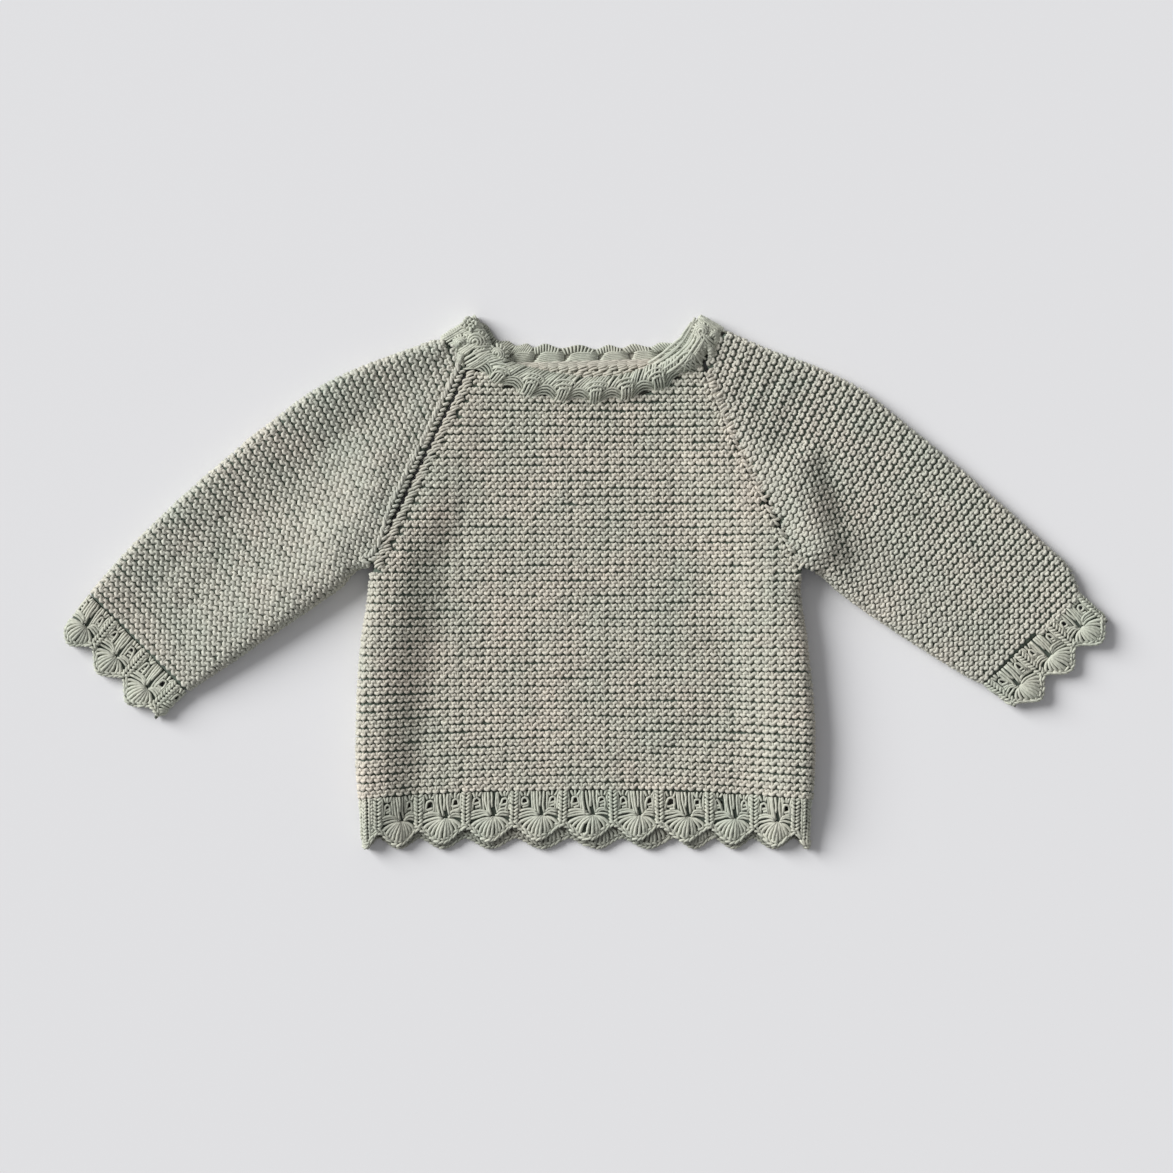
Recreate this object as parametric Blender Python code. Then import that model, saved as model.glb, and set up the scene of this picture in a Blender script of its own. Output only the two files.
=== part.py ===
"""A hand-knitted baby sweater, laid flat: garter-stitch body, raglan sleeves, and lace edgings at the
neck, hem and cuffs. +X is the laid garment's right, +Y its neck, +Z up off the table. The tables are
in millimetres, and the points of the meshes in metres."""

import math

import bmesh
import bpy
import numpy as np

MM = 0.001

# The cloth
CLOTH = 3.2  # thickness of the garter-stitch wall in its valleys
LACE = 2.0  # thickness of the lace edging
LAYER_GAP = 0.4  # between an upper wall and the lower wall that it lies on
SEAM_GAP = 0.3  # between two pieces that are sewn together
RIDGE = 0.8  # how far a garter ridge stands above its valleys
LAID = 2 * CLOTH + LAYER_GAP  # height of two walls that lie on each other

# The body: outline of the laid panels
HEM_Y = -124.5  # the hem seam at the side edges
HEM_BOW = 5.2  # the hem seam is this much higher in the middle
NECK_Y = 104.0  # the front neckline in the middle
NECK_SQUARENESS = 2.3  # 2 is a parabola, and more is a flatter neckline with tighter corners
BODY_RIDGES = 52
BODY_ROWS = 13  # rows of the plain inside, and of the back panel
ARMPIT_BLEND = 12.0  # length over which a raglan edge turns into a rolled side edge
NECK_BEND = 50.0  # the ridges bend towards the neckline over this height
HEM_BEND = 70.0

# One row for each side of the body: the raglan line and the swell of the cloth along its edges
RAGLAN_COLUMNS = ("side", "top_x", "top_y", "armpit_x", "armpit_y", "bow", "groove")
RAGLANS = (
    ("left", -67.3, 123.3, -123.1, 9.5, -0.6, 1.0),
    ("right", 67.9, 126.8, 125.4, 6.6, -3.0, 0.5),
)

# Side edges below the armpits
SIDE_COLUMNS = ("y", "left_x", "right_x")
SIDES = (
    (9.5, -123.1, 125.2),
    (2.0, -124.2, 123.0),
    (-11.8, -125.4, 123.4),
    (-32.5, -128.6, 126.5),
    (-53.2, -130.4, 128.8),
    (-80.8, -131.6, 131.0),
    (-108.4, -131.6, 131.0),
    (-124.5, -130.5, 130.2),
    (-160.0, -129.0, 129.0),
)

# How much higher than the laid cloth the body swells beside its edges
SWELL_COLUMNS = ("y", "left", "right", "reach")
SWELLS = (
    (124.6, 0.8, 0.7, 14.0),
    (60.0, 1.2, 1.0, 18.0),
    (9.5, 2.6, 2.2, 30.0),
    (-20.0, 3.4, 2.8, 44.0),
    (-124.5, 3.2, 3.0, 44.0),
)
SWELL_CREST = 12.0  # distance from the side edge to the top of the swell

# The sleeves: one row for each counted garter ridge, from the neck to the cuff
SLEEVE_COLUMNS = ("ridge", "under_x", "under_y", "fold_x", "fold_y", "under_swell", "fold_swell", "rolled")
SLEEVES = {
    "left": (
        (0, -67.3, 123.3, -83.4, 140.6, 0.8, 2.0, 0.0),
        (6, -81.6, 94.9, -107.0, 132.0, 0.9, 1.6, 0.0),
        (12, -95.8, 66.4, -130.5, 123.3, 1.2, 1.2, 0.0),
        (18, -109.6, 38.0, -153.0, 112.4, 1.8, 1.2, 0.0),
        (24, -123.1, 9.5, -173.7, 98.0, 2.6, 1.2, 0.0),
        (25, -128.4, 8.6, -177.5, 95.0, 2.7, 1.2, 0.4),
        (27, -134.4, 5.2, -185.2, 88.8, 2.8, 1.2, 1.0),
        (29, -139.4, -1.0, -191.5, 84.2, 2.8, 1.2, 1.0),
        (32, -148.4, -7.8, -203.6, 73.9, 2.8, 1.2, 1.0),
        (40, -175.4, -26.2, -232.9, 48.6, 2.4, 1.2, 1.0),
        (48, -202.4, -44.6, -260.5, 21.6, 1.8, 1.2, 1.0),
        (56, -230.0, -63.0, -285.8, -6.6, 1.2, 1.2, 1.0),
    ),
    "right": (
        (0, 67.9, 126.8, 80.5, 144.6, 0.7, 2.0, 0.0),
        (6, 79.4, 96.8, 105.8, 133.7, 0.8, 1.6, 0.0),
        (12, 93.4, 66.7, 132.3, 123.9, 1.0, 1.2, 0.0),
        (18, 108.6, 36.7, 157.6, 111.3, 1.6, 1.2, 0.0),
        (24, 125.4, 6.6, 180.0, 94.0, 2.2, 1.2, 0.0),
        (25, 130.4, 5.9, 183.4, 91.2, 2.4, 1.2, 0.4),
        (27, 136.0, 3.6, 190.3, 85.4, 2.6, 1.2, 1.0),
        (29, 142.4, -2.6, 196.4, 80.7, 2.6, 1.2, 1.0),
        (32, 151.2, -9.4, 208.4, 71.0, 2.6, 1.2, 1.0),
        (40, 177.1, -27.2, 236.4, 46.9, 2.2, 1.2, 1.0),
        (48, 202.4, -43.4, 263.0, 22.7, 1.8, 1.2, 1.0),
        (52, 215.7, -51.4, 277.6, 8.6, 1.5, 1.2, 1.0),
        (56, 228.9, -58.6, 284.3, -6.6, 1.2, 1.2, 1.0),
    ),
}
SLEEVE_RIDGES = 56
ARMPIT_RIDGE = 24
SLEEVE_ROWS = 14
UNDER_REACH = 0.42  # share of a sleeve's width that the swell along its underarm takes
FOLD_REACH = 0.30

# The lace edging: fans with a scalloped edge and two eyelets each
FAN_TIP = 28.8  # from the seam to the tip of a fan
FAN_ROUNDNESS = 1.6  # 2 is a wave, and less has sharper notches
FAN_LINES = (0.0, 0.13, 0.33, 0.5, 0.67, 0.87)  # where a fan's columns are, as shares of its width
EYELET_COLUMNS = (1, 4)  # the columns of a fan that hold an eyelet
NARROW_FAN = 16.0  # a fan that is folded narrower than this has no eyelets
NARROW_FAN_COLUMNS = (0, 2, 3, 4)
EYELET_TOP = 3.2
EYELET_BOTTOM = 8.6
EYELET_WIDTH = 3.3
EYELET_HEIGHT = 4.4
EYELET_SIDES = 6
EYELET_TURN = math.pi * 3 / 4  # where an eyelet's first corner is
EYELET_ROW = 1  # the row of cells that holds the eyelets
RIB_COLUMNS = (0, 3)  # the columns of a fan that stand up as ribs
LEAST_COLUMN = 1.2  # no column lies nearer than this to the end of a lace
LACE_CURL = 6.3  # length of lace from a side edge up to the top of its roll
FAN_DOME = 0.7  # how far a fan's ribs stand above the lace
LAST_FAN_BLEND = 1 / 3  # share of the last fan over which it draws up

# Where the notches between the fans are, along each lace
FRONT_NOTCHES = (-3.0, 12.3, 35.6, 63.0, 90.8, 118.9, 147.3, 173.9, 202.8, 228.5, 252.1, 268.0)
BACK_NOTCHES = (-3.0, 12.3, 36.4, 62.9, 92.2, 123.3, 152.0, 182.5, 205.5, 227.9, 252.1, 268.0)
LEFT_CUFF_NOTCHES = (-2.0, 23.8, 49.6, 75.4, 101.2)
RIGHT_CUFF_NOTCHES = (-21.5, 3.1, 27.7, 52.3, 76.9, 101.5)

LACE_COLUMNS = (
    "name", "upper", "start_x", "start_y", "end_x", "end_y", "outward", "bow", "start_taper", "end_taper",
    "notches", "notch", "end_depth", "seam_centre", "seam_radius", "tip_radius",
)
LEFT_CUFF = (-285.8, -6.6, -230.0, -63.0, -1, 0.0, 4.6, 1.5, LEFT_CUFF_NOTCHES, 20.6, 0.84, 4.0, 3.4, 3.0)
RIGHT_CUFF = (284.3, -6.6, 228.9, -58.6, 1, 0.0, -1.7, 5.5, RIGHT_CUFF_NOTCHES, 20.6, 0.84, 4.0, 3.4, 3.0)
LACES = (
    ("hem_lace_front", True, -130.0, -124.5, 129.8, -124.5, -1, 5.2, 1.2, 1.2, FRONT_NOTCHES, 20.6, 1.0,
     5.0, 4.4, 3.3),
    ("hem_lace_back", False, -130.0, -124.5, 129.8, -124.5, -1, 0.0, 1.2, 1.2, BACK_NOTCHES, 22.6, 1.0,
     5.0, 4.4, 3.3),
    ("cuff_left_lace_upper", True, *LEFT_CUFF),
    ("cuff_left_lace_lower", False, *LEFT_CUFF),
    ("cuff_right_lace_upper", True, *RIGHT_CUFF),
    ("cuff_right_lace_lower", False, *RIGHT_CUFF),
)
SIDE_LACE_REACH = 30.0

# The neck edging: a rolled band over the neckline, and a flat scalloped band behind the neck.
# A place round the neck runs from -2, at the left sleeve's fold, through -1 and 1, at the tops of the
# raglan seams, to 2 at the right sleeve's fold.
SHOULDER_STATIONS = 8
NECKLINE_STATIONS = 36
FIRST_FOOT = -0.787  # place of the first gathered foot of the front band
FOOT_PITCH = 0.284  # from foot to foot along the neckline
SHOULDER_PITCH = 0.8  # and over the shoulders, in the same terms
FOOT_LIFT = 2.0  # how far the band's lower edge draws back between its feet
FOOT_RISE = 0.7  # how far a foot stands above the arcs beside it
BAND_GAP = 0.55  # between a neck band and the cloth that it is sewn to
CORNER_BLEND = 0.1  # the band's gap turns sideways over this much of the neckline at its corners

# The front band's section, from the cloth (share 0) to the neck's opening (1)
BAND_PROFILE_COLUMNS = ("share", "top", "bottom")
BAND_PROFILE = (
    (0.0, 7.0, 4.3),
    (0.22, 9.4, 6.3),
    (0.55, 10.6, 7.3),
    (0.82, 10.0, 7.0),
    (1.0, 8.4, 6.2),
)
OPEN_SIDE_COLUMNS = ("place", "x", "y")
FRONT_OPEN_SIDE = (
    (-2.0, -63.3, 152.7),
    (-1.6, -59.8, 146.3),
    (-1.3, -55.8, 138.9),
    (-1.0, -52.9, 133.1),
    (-0.8, -43.7, 126.8),
    (-0.55, -30.5, 122.8),
    (-0.27, -13.8, 119.3),
    (0.06, 6.9, 117.6),
    (0.38, 24.2, 119.9),
    (0.65, 38.0, 125.1),
    (0.85, 49.5, 130.2),
    (1.0, 57.5, 135.4),
    (1.5, 61.5, 144.6),
    (2.0, 65.6, 152.7),
)
BACK_OPEN_SIDE = (
    (-2.0, -62.7, 152.4),
    (-1.6, -57.5, 148.6),
    (-1.3, -52.3, 144.6),
    (-1.0, -47.2, 139.8),
    (-0.8, -39.1, 138.2),
    (-0.3, -20.1, 137.6),
    (0.0, 1.7, 136.8),
    (0.4, 22.4, 137.4),
    (0.8, 43.7, 138.4),
    (1.0, 52.3, 140.9),
    (1.5, 56.9, 147.3),
    (2.0, 65.0, 152.7),
)
FOLD_DROP = 2.2  # the front band is this much lower where it folds over the shoulders
FOLD_FROM = 1.5  # the place from which it folds down

# The back band lies flat. A twisted chain row stands up along it.
BACK_BAND_THICKNESS = 3.0
BACK_CHAIN = 0.6
BACK_PROFILE_COLUMNS = ("share", "raised")
BACK_PROFILE = (
    (0.0, 0.0),
    (0.3, BACK_CHAIN),
    (0.55, 0.0),
    (1.0, 0.0),
)
BACK_SCALLOP = 2.4  # depth of the notches in the back band's outer edge

YARN_COLOURS = {
    "front_panel": (0.36, 0.35, 0.30),
    "back_panel": (0.32, 0.32, 0.27),
    "sleeve_left": (0.37, 0.37, 0.32),
    "sleeve_right": (0.35, 0.35, 0.29),
    "lace": (0.40, 0.40, 0.34),
}
YARN_ROUGHNESS = 0.92
SHARP_ANGLE = math.radians(50)


def lerp(a, b, share):
    return a + (b - a) * share


def smooth(share):
    share = min(1.0, max(0.0, share))
    return share * share * (3 - 2 * share)


def along_table(rows, columns, key, wanted, at):
    """The wanted columns where the key column has this value, on a smooth curve through the rows."""
    table = np.array([row[-len(columns):] for row in rows], float)
    keys = table[:, columns.index(key)]
    values = table[:, [columns.index(name) for name in wanted]]
    if keys[0] > keys[-1]:
        keys, values = keys[::-1], values[::-1]
    at = min(keys[-1], max(keys[0], at))
    slopes = np.gradient(values, keys, axis=0)
    i = min(len(keys) - 2, int(np.searchsorted(keys, at, "right")) - 1)
    step = keys[i + 1] - keys[i]
    t = (at - keys[i]) / step
    ends = lerp(values[i], values[i + 1], t * t * (3 - 2 * t))
    return ends + step * t * (1 - t) * ((1 - t) * slopes[i] - t * slopes[i + 1])


def raglan_of(side):
    row = next(row for row in RAGLANS if row[0] == side)
    return dict(zip(RAGLAN_COLUMNS, row))


def raglan_x(side, y):
    line = raglan_of(side)
    share = (line["top_y"] - y) / (line["top_y"] - line["armpit_y"])
    return lerp(line["top_x"], line["armpit_x"], share) + 4 * line["bow"] * share * (1 - share)


def edge_x(side, y):
    """The panels' edge: the raglan line above the armpit, and the side below it."""
    if y > raglan_of(side)["armpit_y"]:
        return raglan_x(side, y)
    return along_table(SIDES, SIDE_COLUMNS, "y", [side + "_x"], y)[0]


def rolled(side, y):
    """0 where the panel's edge lies flat in the raglan seam, and 1 where it rolls down at the side."""
    return smooth((raglan_of(side)["armpit_y"] - y) / ARMPIT_BLEND)


def front_hem_y(across):
    """The front's hem seam, where across runs from -1 at the left edge to 1 at the right."""
    return HEM_Y + HEM_BOW * (1 - across * across)


def back_hem_y(across):
    return HEM_Y


def neckline_y(across):
    ends = lerp(raglan_of("left")["top_y"], raglan_of("right")["top_y"], (across + 1) / 2)
    return ends - (ends - NECK_Y) * (1 - abs(across) ** NECK_SQUARENESS)


def row_y(share, across, hem_line, top_line):
    """The y of a row on the body at this share of the way from the hem line up to the top line."""
    bottom = hem_line(0)
    top = top_line(0)
    level = lerp(bottom, top, share)
    near_hem = 1 - smooth((level - bottom) / HEM_BEND)
    near_neck = 1 - smooth((top - level) / NECK_BEND)
    return level + (hem_line(across) - bottom) * near_hem + (top_line(across) - top) * near_neck


def edge_point(height, inset_share, roll, groove, thickness=0.0):
    """(distance in from an edge, height) of a point on the way from the edge (0) to the top (1).
    With roll 1 the edge rolls down to half the height, and with 0 it ends upright in a seam."""
    radius = height / 2
    angle = inset_share * math.pi / 2
    curl = radius - thickness
    rolled_in = radius - curl * math.cos(angle)
    rolled_z = radius + max(curl * math.sin(angle), SEAM_GAP / 2)
    flat_in = radius * (1 - math.cos(angle))
    flat_z = height - thickness - groove * (1 - inset_share) ** 2
    return lerp(flat_in, rolled_in, roll), lerp(flat_z, rolled_z, roll)


def new_vertices(mesh, points):
    return [mesh.verts.new([c * MM for c in point]) for point in points]


def add_face(mesh, corners):
    distinct = list(dict.fromkeys(corners))
    if len(distinct) > 2:
        mesh.faces.new(distinct)


def add_grid(mesh, rows, holes=()):
    """Vertices for rows of points, joined by quads but for the cells in holes."""
    grid = [new_vertices(mesh, row) for row in rows]
    for i, (row, following) in enumerate(zip(grid, grid[1:])):
        for j in range(len(row) - 1):
            if (i, j) not in holes:
                add_face(mesh, (row[j], row[j + 1], following[j + 1], following[j]))
    return grid


def length_shares(line):
    steps = [0.0] + [(b.co - a.co).length for a, b in zip(line, line[1:])]
    total = np.cumsum(steps)
    return total / total[-1]


def zip_lines(mesh, first, second):
    """Triangles between two lines of vertices, which may differ in number."""
    first_shares = length_shares(first)
    second_shares = length_shares(second)
    i = j = 0
    while i < len(first) - 1 or j < len(second) - 1:
        second_done = j == len(second) - 1
        if second_done or (i < len(first) - 1 and first_shares[i + 1] <= second_shares[j + 1]):
            add_face(mesh, (first[i], first[i + 1], second[j]))
            i += 1
        else:
            add_face(mesh, (first[i], second[j + 1], second[j]))
            j += 1


def column(grid, index):
    return [row[index] for row in grid]


def close_walls(mesh, outer, inner):
    """The four rims between the two faces of a wall."""
    zip_lines(mesh, outer[0], inner[0])
    zip_lines(mesh, outer[-1], inner[-1])
    zip_lines(mesh, column(outer, 0), column(inner, 0))
    zip_lines(mesh, column(outer, -1), column(inner, -1))


def finish_piece(name, mesh, colour):
    """Turns the mesh into a named object with its material, in the garment's collection."""
    bmesh.ops.recalc_face_normals(mesh, faces=mesh.faces)
    if mesh.calc_volume(signed=True) < 0:
        bmesh.ops.reverse_faces(mesh, faces=mesh.faces)
    data = bpy.data.meshes.new(name)
    mesh.to_mesh(data)
    mesh.free()
    data.shade_smooth()
    data.set_sharp_from_angle(angle=SHARP_ANGLE)
    material = bpy.data.materials.new(name + "_yarn")
    material.use_nodes = True
    shader = material.node_tree.nodes["Principled BSDF"]
    shader.inputs["Base Color"].default_value = (*colour, 1)
    shader.inputs["Roughness"].default_value = YARN_ROUGHNESS
    shader.inputs["Metallic"].default_value = 0
    data.materials.append(material)
    piece = bpy.data.objects.new(name, data)
    bpy.data.collections["baby_sweater"].objects.link(piece)
    return piece


def swell(side, y, inset):
    """How far the body's upper wall rises above the laid height at this distance from an edge."""
    amount, reach = along_table(SWELLS, SWELL_COLUMNS, "y", [side, "reach"], y)
    return amount * (1 - smooth((inset - SWELL_CREST) / reach))


def body_height(x, y):
    left = x - edge_x("left", y)
    right = edge_x("right", y) - x
    return LAID + swell("left", y, left) + swell("right", y, right)


EDGE_STEPS = (0.0, 0.5, 1.0)  # points on a rolled edge, from its seam to its top
BODY_INSETS = (9.0, 19.0, 30.0)  # further columns beside each edge, in millimetres
BODY_MIDDLE = tuple(i / 6 for i in range(1, 6))  # and the columns between those


def front_row(share, steps, insets, thickness, ridge):
    """One row of points across the front panel, from its left edge to its right."""
    halves = {}
    for side, sign in (("left", 1), ("right", -1)):
        y = row_y(share, -sign, front_hem_y, neckline_y)
        edge = edge_x(side, y) + sign * SEAM_GAP
        height = body_height(edge, y)
        groove = min(raglan_of(side)["groove"], height - LAID)
        roll = rolled(side, y)
        points = []
        for step in steps:
            inset, z = edge_point(height, step, roll, groove, thickness)
            points.append((edge + sign * inset, z + ridge * step))
        for inset in insets:
            x = edge + sign * inset
            points.append((x, None))
        halves[side] = points
    left, right = halves["left"], halves["right"][::-1]
    middle = [(lerp(left[-1][0], right[0][0], share_x), None) for share_x in BODY_MIDDLE]
    row = left + middle + right
    span = row[-1][0] - row[0][0]
    points = []
    for x, z in row:
        across = 2 * (x - row[0][0]) / span - 1
        y = row_y(share, across, front_hem_y, neckline_y)
        if z is None:
            z = body_height(x, y) - thickness + ridge
        points.append((x, y, z))
    return points


def make_front_panel():
    mesh = bmesh.new()
    fine_rows = 2 * BODY_RIDGES
    outer = add_grid(mesh, [
        front_row(i / fine_rows, EDGE_STEPS, BODY_INSETS, 0, RIDGE * (i % 2)) for i in range(fine_rows + 1)
    ])
    inner = add_grid(mesh, [
        front_row(i / BODY_ROWS, (0.0, 1.0), BODY_INSETS[1:], CLOTH, 0) for i in range(BODY_ROWS + 1)
    ])
    close_walls(mesh, outer, inner)
    finish_piece("front_panel", mesh, YARN_COLOURS["front_panel"])


def back_row(share, lift):
    """One row of the back panel: flat on the table, its edges turned up where the sides roll.
    lift is 0 on the underside and the wall's thickness on the inside."""
    points = []
    for side, sign in (("left", 1), ("right", -1)):
        y = row_y(share, -sign, back_hem_y, back_neckline_y)
        edge = edge_x(side, y) + sign * SEAM_GAP
        height = body_height(edge, y)
        roll = rolled(side, y)
        half = []
        for step in EDGE_STEPS:
            inset, z = edge_point(height, step, 1, 0, lift)
            turned_up = height - z
            flat_inset = height / 2 * (1 - math.cos(step * math.pi / 2))
            half.append((edge + sign * lerp(flat_inset, inset, roll), lerp(lift, turned_up, roll)))
        half += [(edge + sign * inset, lift) for inset in BODY_INSETS]
        points.append(half)
    left, right = points[0], points[1][::-1]
    row = left + [(lerp(left[-1][0], right[0][0], share_x), lift) for share_x in BODY_MIDDLE] + right
    span = row[-1][0] - row[0][0]
    return [
        (x, row_y(share, 2 * (x - row[0][0]) / span - 1, back_hem_y, back_neckline_y), z) for x, z in row
    ]


def back_neckline_y(across):
    return lerp(raglan_of("left")["top_y"], raglan_of("right")["top_y"], (across + 1) / 2)


def make_back_panel():
    mesh = bmesh.new()
    shares = [i / BODY_ROWS for i in range(BODY_ROWS + 1)]
    outer = add_grid(mesh, [back_row(share, 0) for share in shares])
    inner = add_grid(mesh, [back_row(share, CLOTH) for share in shares])
    close_walls(mesh, outer, inner)
    finish_piece("back_panel", mesh, YARN_COLOURS["back_panel"])


def sleeve_section(side, ridge):
    """The sleeve's measures at one garter ridge: its underarm or raglan end, its folded end, the
    swells beside them, and how far the lower edge is rolled."""
    ux, uy, fx, fy, under_swell, fold_swell, roll = along_table(
        SLEEVES[side], SLEEVE_COLUMNS, "ridge", SLEEVE_COLUMNS[1:], ridge
    )
    sign = -1 if side == "left" else 1
    if ridge <= ARMPIT_RIDGE:
        line = raglan_of(side)
        uy = lerp(line["top_y"], line["armpit_y"], ridge / ARMPIT_RIDGE)
        ux = raglan_x(side, uy)
    start = np.array((ux + sign * SEAM_GAP, uy))
    end = np.array((fx, fy))
    roll = smooth(roll)
    groove = min(raglan_of(side)["groove"], under_swell)
    return start, end, LAID + under_swell, LAID + fold_swell, roll, groove


UPPER_STEPS = (0.1, 0.4, 0.72)  # columns between the two rolled edges of a sleeve's upper wall
FOLD_STEPS = (1.0, 0.5, 0.0)


def sleeve_row(side, ridge, part, raised):
    """One row of points on part of a sleeve: the "upper" outside, from the underarm to the fold,
    the "lower" outside, from the fold back to the underarm, or the whole "inside"."""
    start, end, under, fold, roll, groove = sleeve_section(side, ridge)
    width = np.linalg.norm(end - start)
    across = (end - start) / width
    fold_radius = fold / 2
    under_in = under / 2
    points = []

    def add(distance, z):
        x, y = start + across * distance
        points.append((x, y, z))

    def upper_height(distance):
        near_under = 1 - smooth((distance - under_in) / (UNDER_REACH * width))
        near_fold = 1 - smooth((width - fold_radius - distance) / (FOLD_REACH * width))
        return LAID + (under - LAID) * near_under + (fold - LAID) * near_fold * (1 - near_under)

    if part == "upper":
        for step in EDGE_STEPS:
            inset, z = edge_point(under, step, roll, groove)
            add(inset, z + raised * step)
        for step in UPPER_STEPS:
            distance = lerp(under_in, width - fold_radius, step)
            add(distance, upper_height(distance) + raised)
        for step in FOLD_STEPS:
            inset, z = edge_point(fold, step, 1, 0)
            z = fold_radius if step == 0 else z
            add(width - inset, z + raised * step)
    if part == "lower":
        for step in FOLD_STEPS[::-1][1:]:
            inset, z = edge_point(fold, step, 1, 0)
            add(width - inset, fold - z)
        add(0.5 * width, 0)
        for step in EDGE_STEPS[::-1]:
            inset, z = edge_point(under, step, 1, 0)
            add(lerp(under_in * step, inset, roll), lerp(0, under - z, roll))
    if part == "inside":
        for step in (0.0, 1.0):
            inset, z = edge_point(under, step, roll, groove, CLOTH)
            add(inset, z)
        distance = lerp(under_in, width - fold_radius, 0.5)
        add(distance, upper_height(distance) - CLOTH)
        add(width - fold_radius, fold - CLOTH)
        add(width - CLOTH, fold_radius)
        add(width - fold_radius, CLOTH)
        add(0.5 * width, CLOTH)
        for step in (1.0, 0.0):
            inset, z = edge_point(under, step, 1, 0, CLOTH)
            add(lerp(under_in * step, inset, roll), lerp(CLOTH, under - z, roll))
    return points


def make_sleeve(side):
    mesh = bmesh.new()
    fine_rows = 2 * SLEEVE_RIDGES
    coarse = [SLEEVE_RIDGES * i / SLEEVE_ROWS for i in range(SLEEVE_ROWS + 1)]
    upper = add_grid(mesh, [
        sleeve_row(side, i / 2, "upper", RIDGE * (i % 2)) for i in range(fine_rows + 1)
    ])
    lower = add_grid(mesh, [sleeve_row(side, ridge, "lower", 0) for ridge in coarse])
    inside = add_grid(mesh, [sleeve_row(side, ridge, "inside", 0) for ridge in coarse])
    zip_lines(mesh, column(upper, -1), column(lower, 0))
    zip_lines(mesh, upper[0] + lower[0], inside[0])
    zip_lines(mesh, upper[-1] + lower[-1], inside[-1])
    zip_lines(mesh, column(upper, 0), column(inside, 0))
    zip_lines(mesh, column(lower, -1), column(inside, -1))
    finish_piece("sleeve_" + side, mesh, YARN_COLOURS["sleeve_" + side])


def fan_depth(band, distance):
    """From the seam to the scalloped edge. The last, folded fan draws up a little."""
    notches = band["notches"]
    last = len(notches) - 2
    fan = max(i for i in range(last + 1) if notches[i] <= distance)
    share = (distance - notches[fan]) / (notches[fan + 1] - notches[fan])
    depth = lerp(band["notch"], FAN_TIP, math.sin(math.pi * share) ** FAN_ROUNDNESS)
    return depth * lerp(1.0, band["end_depth"], smooth(share / LAST_FAN_BLEND) * (fan == last))


def lace_columns(band, total):
    """(distance along the lace, column of its fan) for each line of vertices, and -1 for the ends."""
    lines = []
    for first, last in zip(band["notches"], band["notches"][1:]):
        narrow = last - first < NARROW_FAN
        for index in NARROW_FAN_COLUMNS if narrow else range(len(FAN_LINES)):
            lines.append((lerp(first, last, FAN_LINES[index]), index))
    within = [line for line in lines if LEAST_COLUMN < line[0] < total - LEAST_COLUMN]
    return [(0.0, -1)] + within + [(total, -1)]


def lace_point(band, distance, depth, total, outer):
    """A point on the outer or inner face of the lace's wall."""
    upper = band["upper"]
    down = depth / FAN_TIP
    radius = lerp(band["seam_radius"], band["tip_radius"], down)
    centre = lerp(band["seam_centre"], band["tip_radius"], down)
    curl = radius if outer else radius - LACE
    sign = 1 if upper else -1
    start = np.array((band["start_x"], band["start_y"]))
    end = np.array((band["end_x"], band["end_y"]))
    width = np.linalg.norm(end - start)
    along = (end - start) / width
    from_side = min(distance, total - distance)
    angle = min(1.0, from_side / LACE_CURL) * math.pi / 2
    inset = radius - curl * math.cos(angle) + max(0.0, from_side - LACE_CURL)
    offset = inset if distance < total / 2 else width - inset
    offset = lerp(offset, lerp(band["start_taper"], width - band["end_taper"], offset / width), down)
    rise = max(curl * math.sin(angle), SEAM_GAP / 2)
    if upper and from_side > LACE_CURL:
        lying = lerp(LAID - (CLOTH - LACE) / 2, 2 * LACE + LAYER_GAP, down)
        top = lerp(centre + radius, lying, smooth((from_side - LACE_CURL) / SIDE_LACE_REACH))
        rise = top - centre - (0 if outer else LACE)
    across = 2 * offset / width - 1
    outward = np.array((along[1], -along[0])) * -band["outward"]
    reach = SEAM_GAP + depth - band["bow"] * (1 - across * across)
    x, y = start + along * offset + outward * reach
    return x, y, centre + sign * rise


def eyelet_ring(band, first_line, second_line, total, outer):
    middle = (first_line + second_line) / 2
    depth = (EYELET_TOP + EYELET_BOTTOM) / 2
    ring = []
    for k in range(EYELET_SIDES):
        angle = 2 * math.pi * k / EYELET_SIDES + EYELET_TURN
        ring.append(lace_point(
            band,
            middle + EYELET_WIDTH / 2 * math.cos(angle),
            depth - EYELET_HEIGHT / 2 * math.sin(angle),
            total,
            outer,
        ))
    return ring


def make_lace(band):
    start = np.array((band["start_x"], band["start_y"]))
    end = np.array((band["end_x"], band["end_y"]))
    total = np.linalg.norm(end - start) + 2 * (LACE_CURL - band["seam_radius"])
    lines = lace_columns(band, total)
    pairs = list(zip(lines, lines[1:]))
    holes = {
        (EYELET_ROW, j)
        for j, (line, following) in enumerate(pairs)
        if line[1] in EYELET_COLUMNS and following[1] == line[1] + 1
    }
    mesh = bmesh.new()
    grids, rings = [], []
    for outer in (True, False):
        rows = []
        for depth in (0.0, EYELET_TOP, EYELET_BOTTOM, None):
            row = []
            for distance, index in lines:
                deep = fan_depth(band, distance) if depth is None else depth
                x, y, z = lace_point(band, distance, deep, total, outer)
                ribbed = band["upper"] and outer and index in RIB_COLUMNS and depth != 0.0
                row.append((x, y, z + FAN_DOME * ribbed))
            rows.append(row)
        grid = add_grid(mesh, rows, holes)
        face_rings = []
        for i, j in sorted(holes):
            ring = new_vertices(mesh, eyelet_ring(band, lines[j][0], lines[j + 1][0], total, outer))
            corners = [grid[i][j], grid[i + 1][j], grid[i + 1][j + 1], grid[i][j + 1]]
            zip_lines(mesh, ring + ring[:1], corners + corners[:1])
            face_rings.append(ring)
        grids.append(grid)
        rings.append(face_rings)
    for outer_ring, inner_ring in zip(*rings):
        zip_lines(mesh, outer_ring + outer_ring[:1], inner_ring + inner_ring[:1])
    close_walls(mesh, *grids)
    finish_piece(band["name"], mesh, YARN_COLOURS["lace"])


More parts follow.
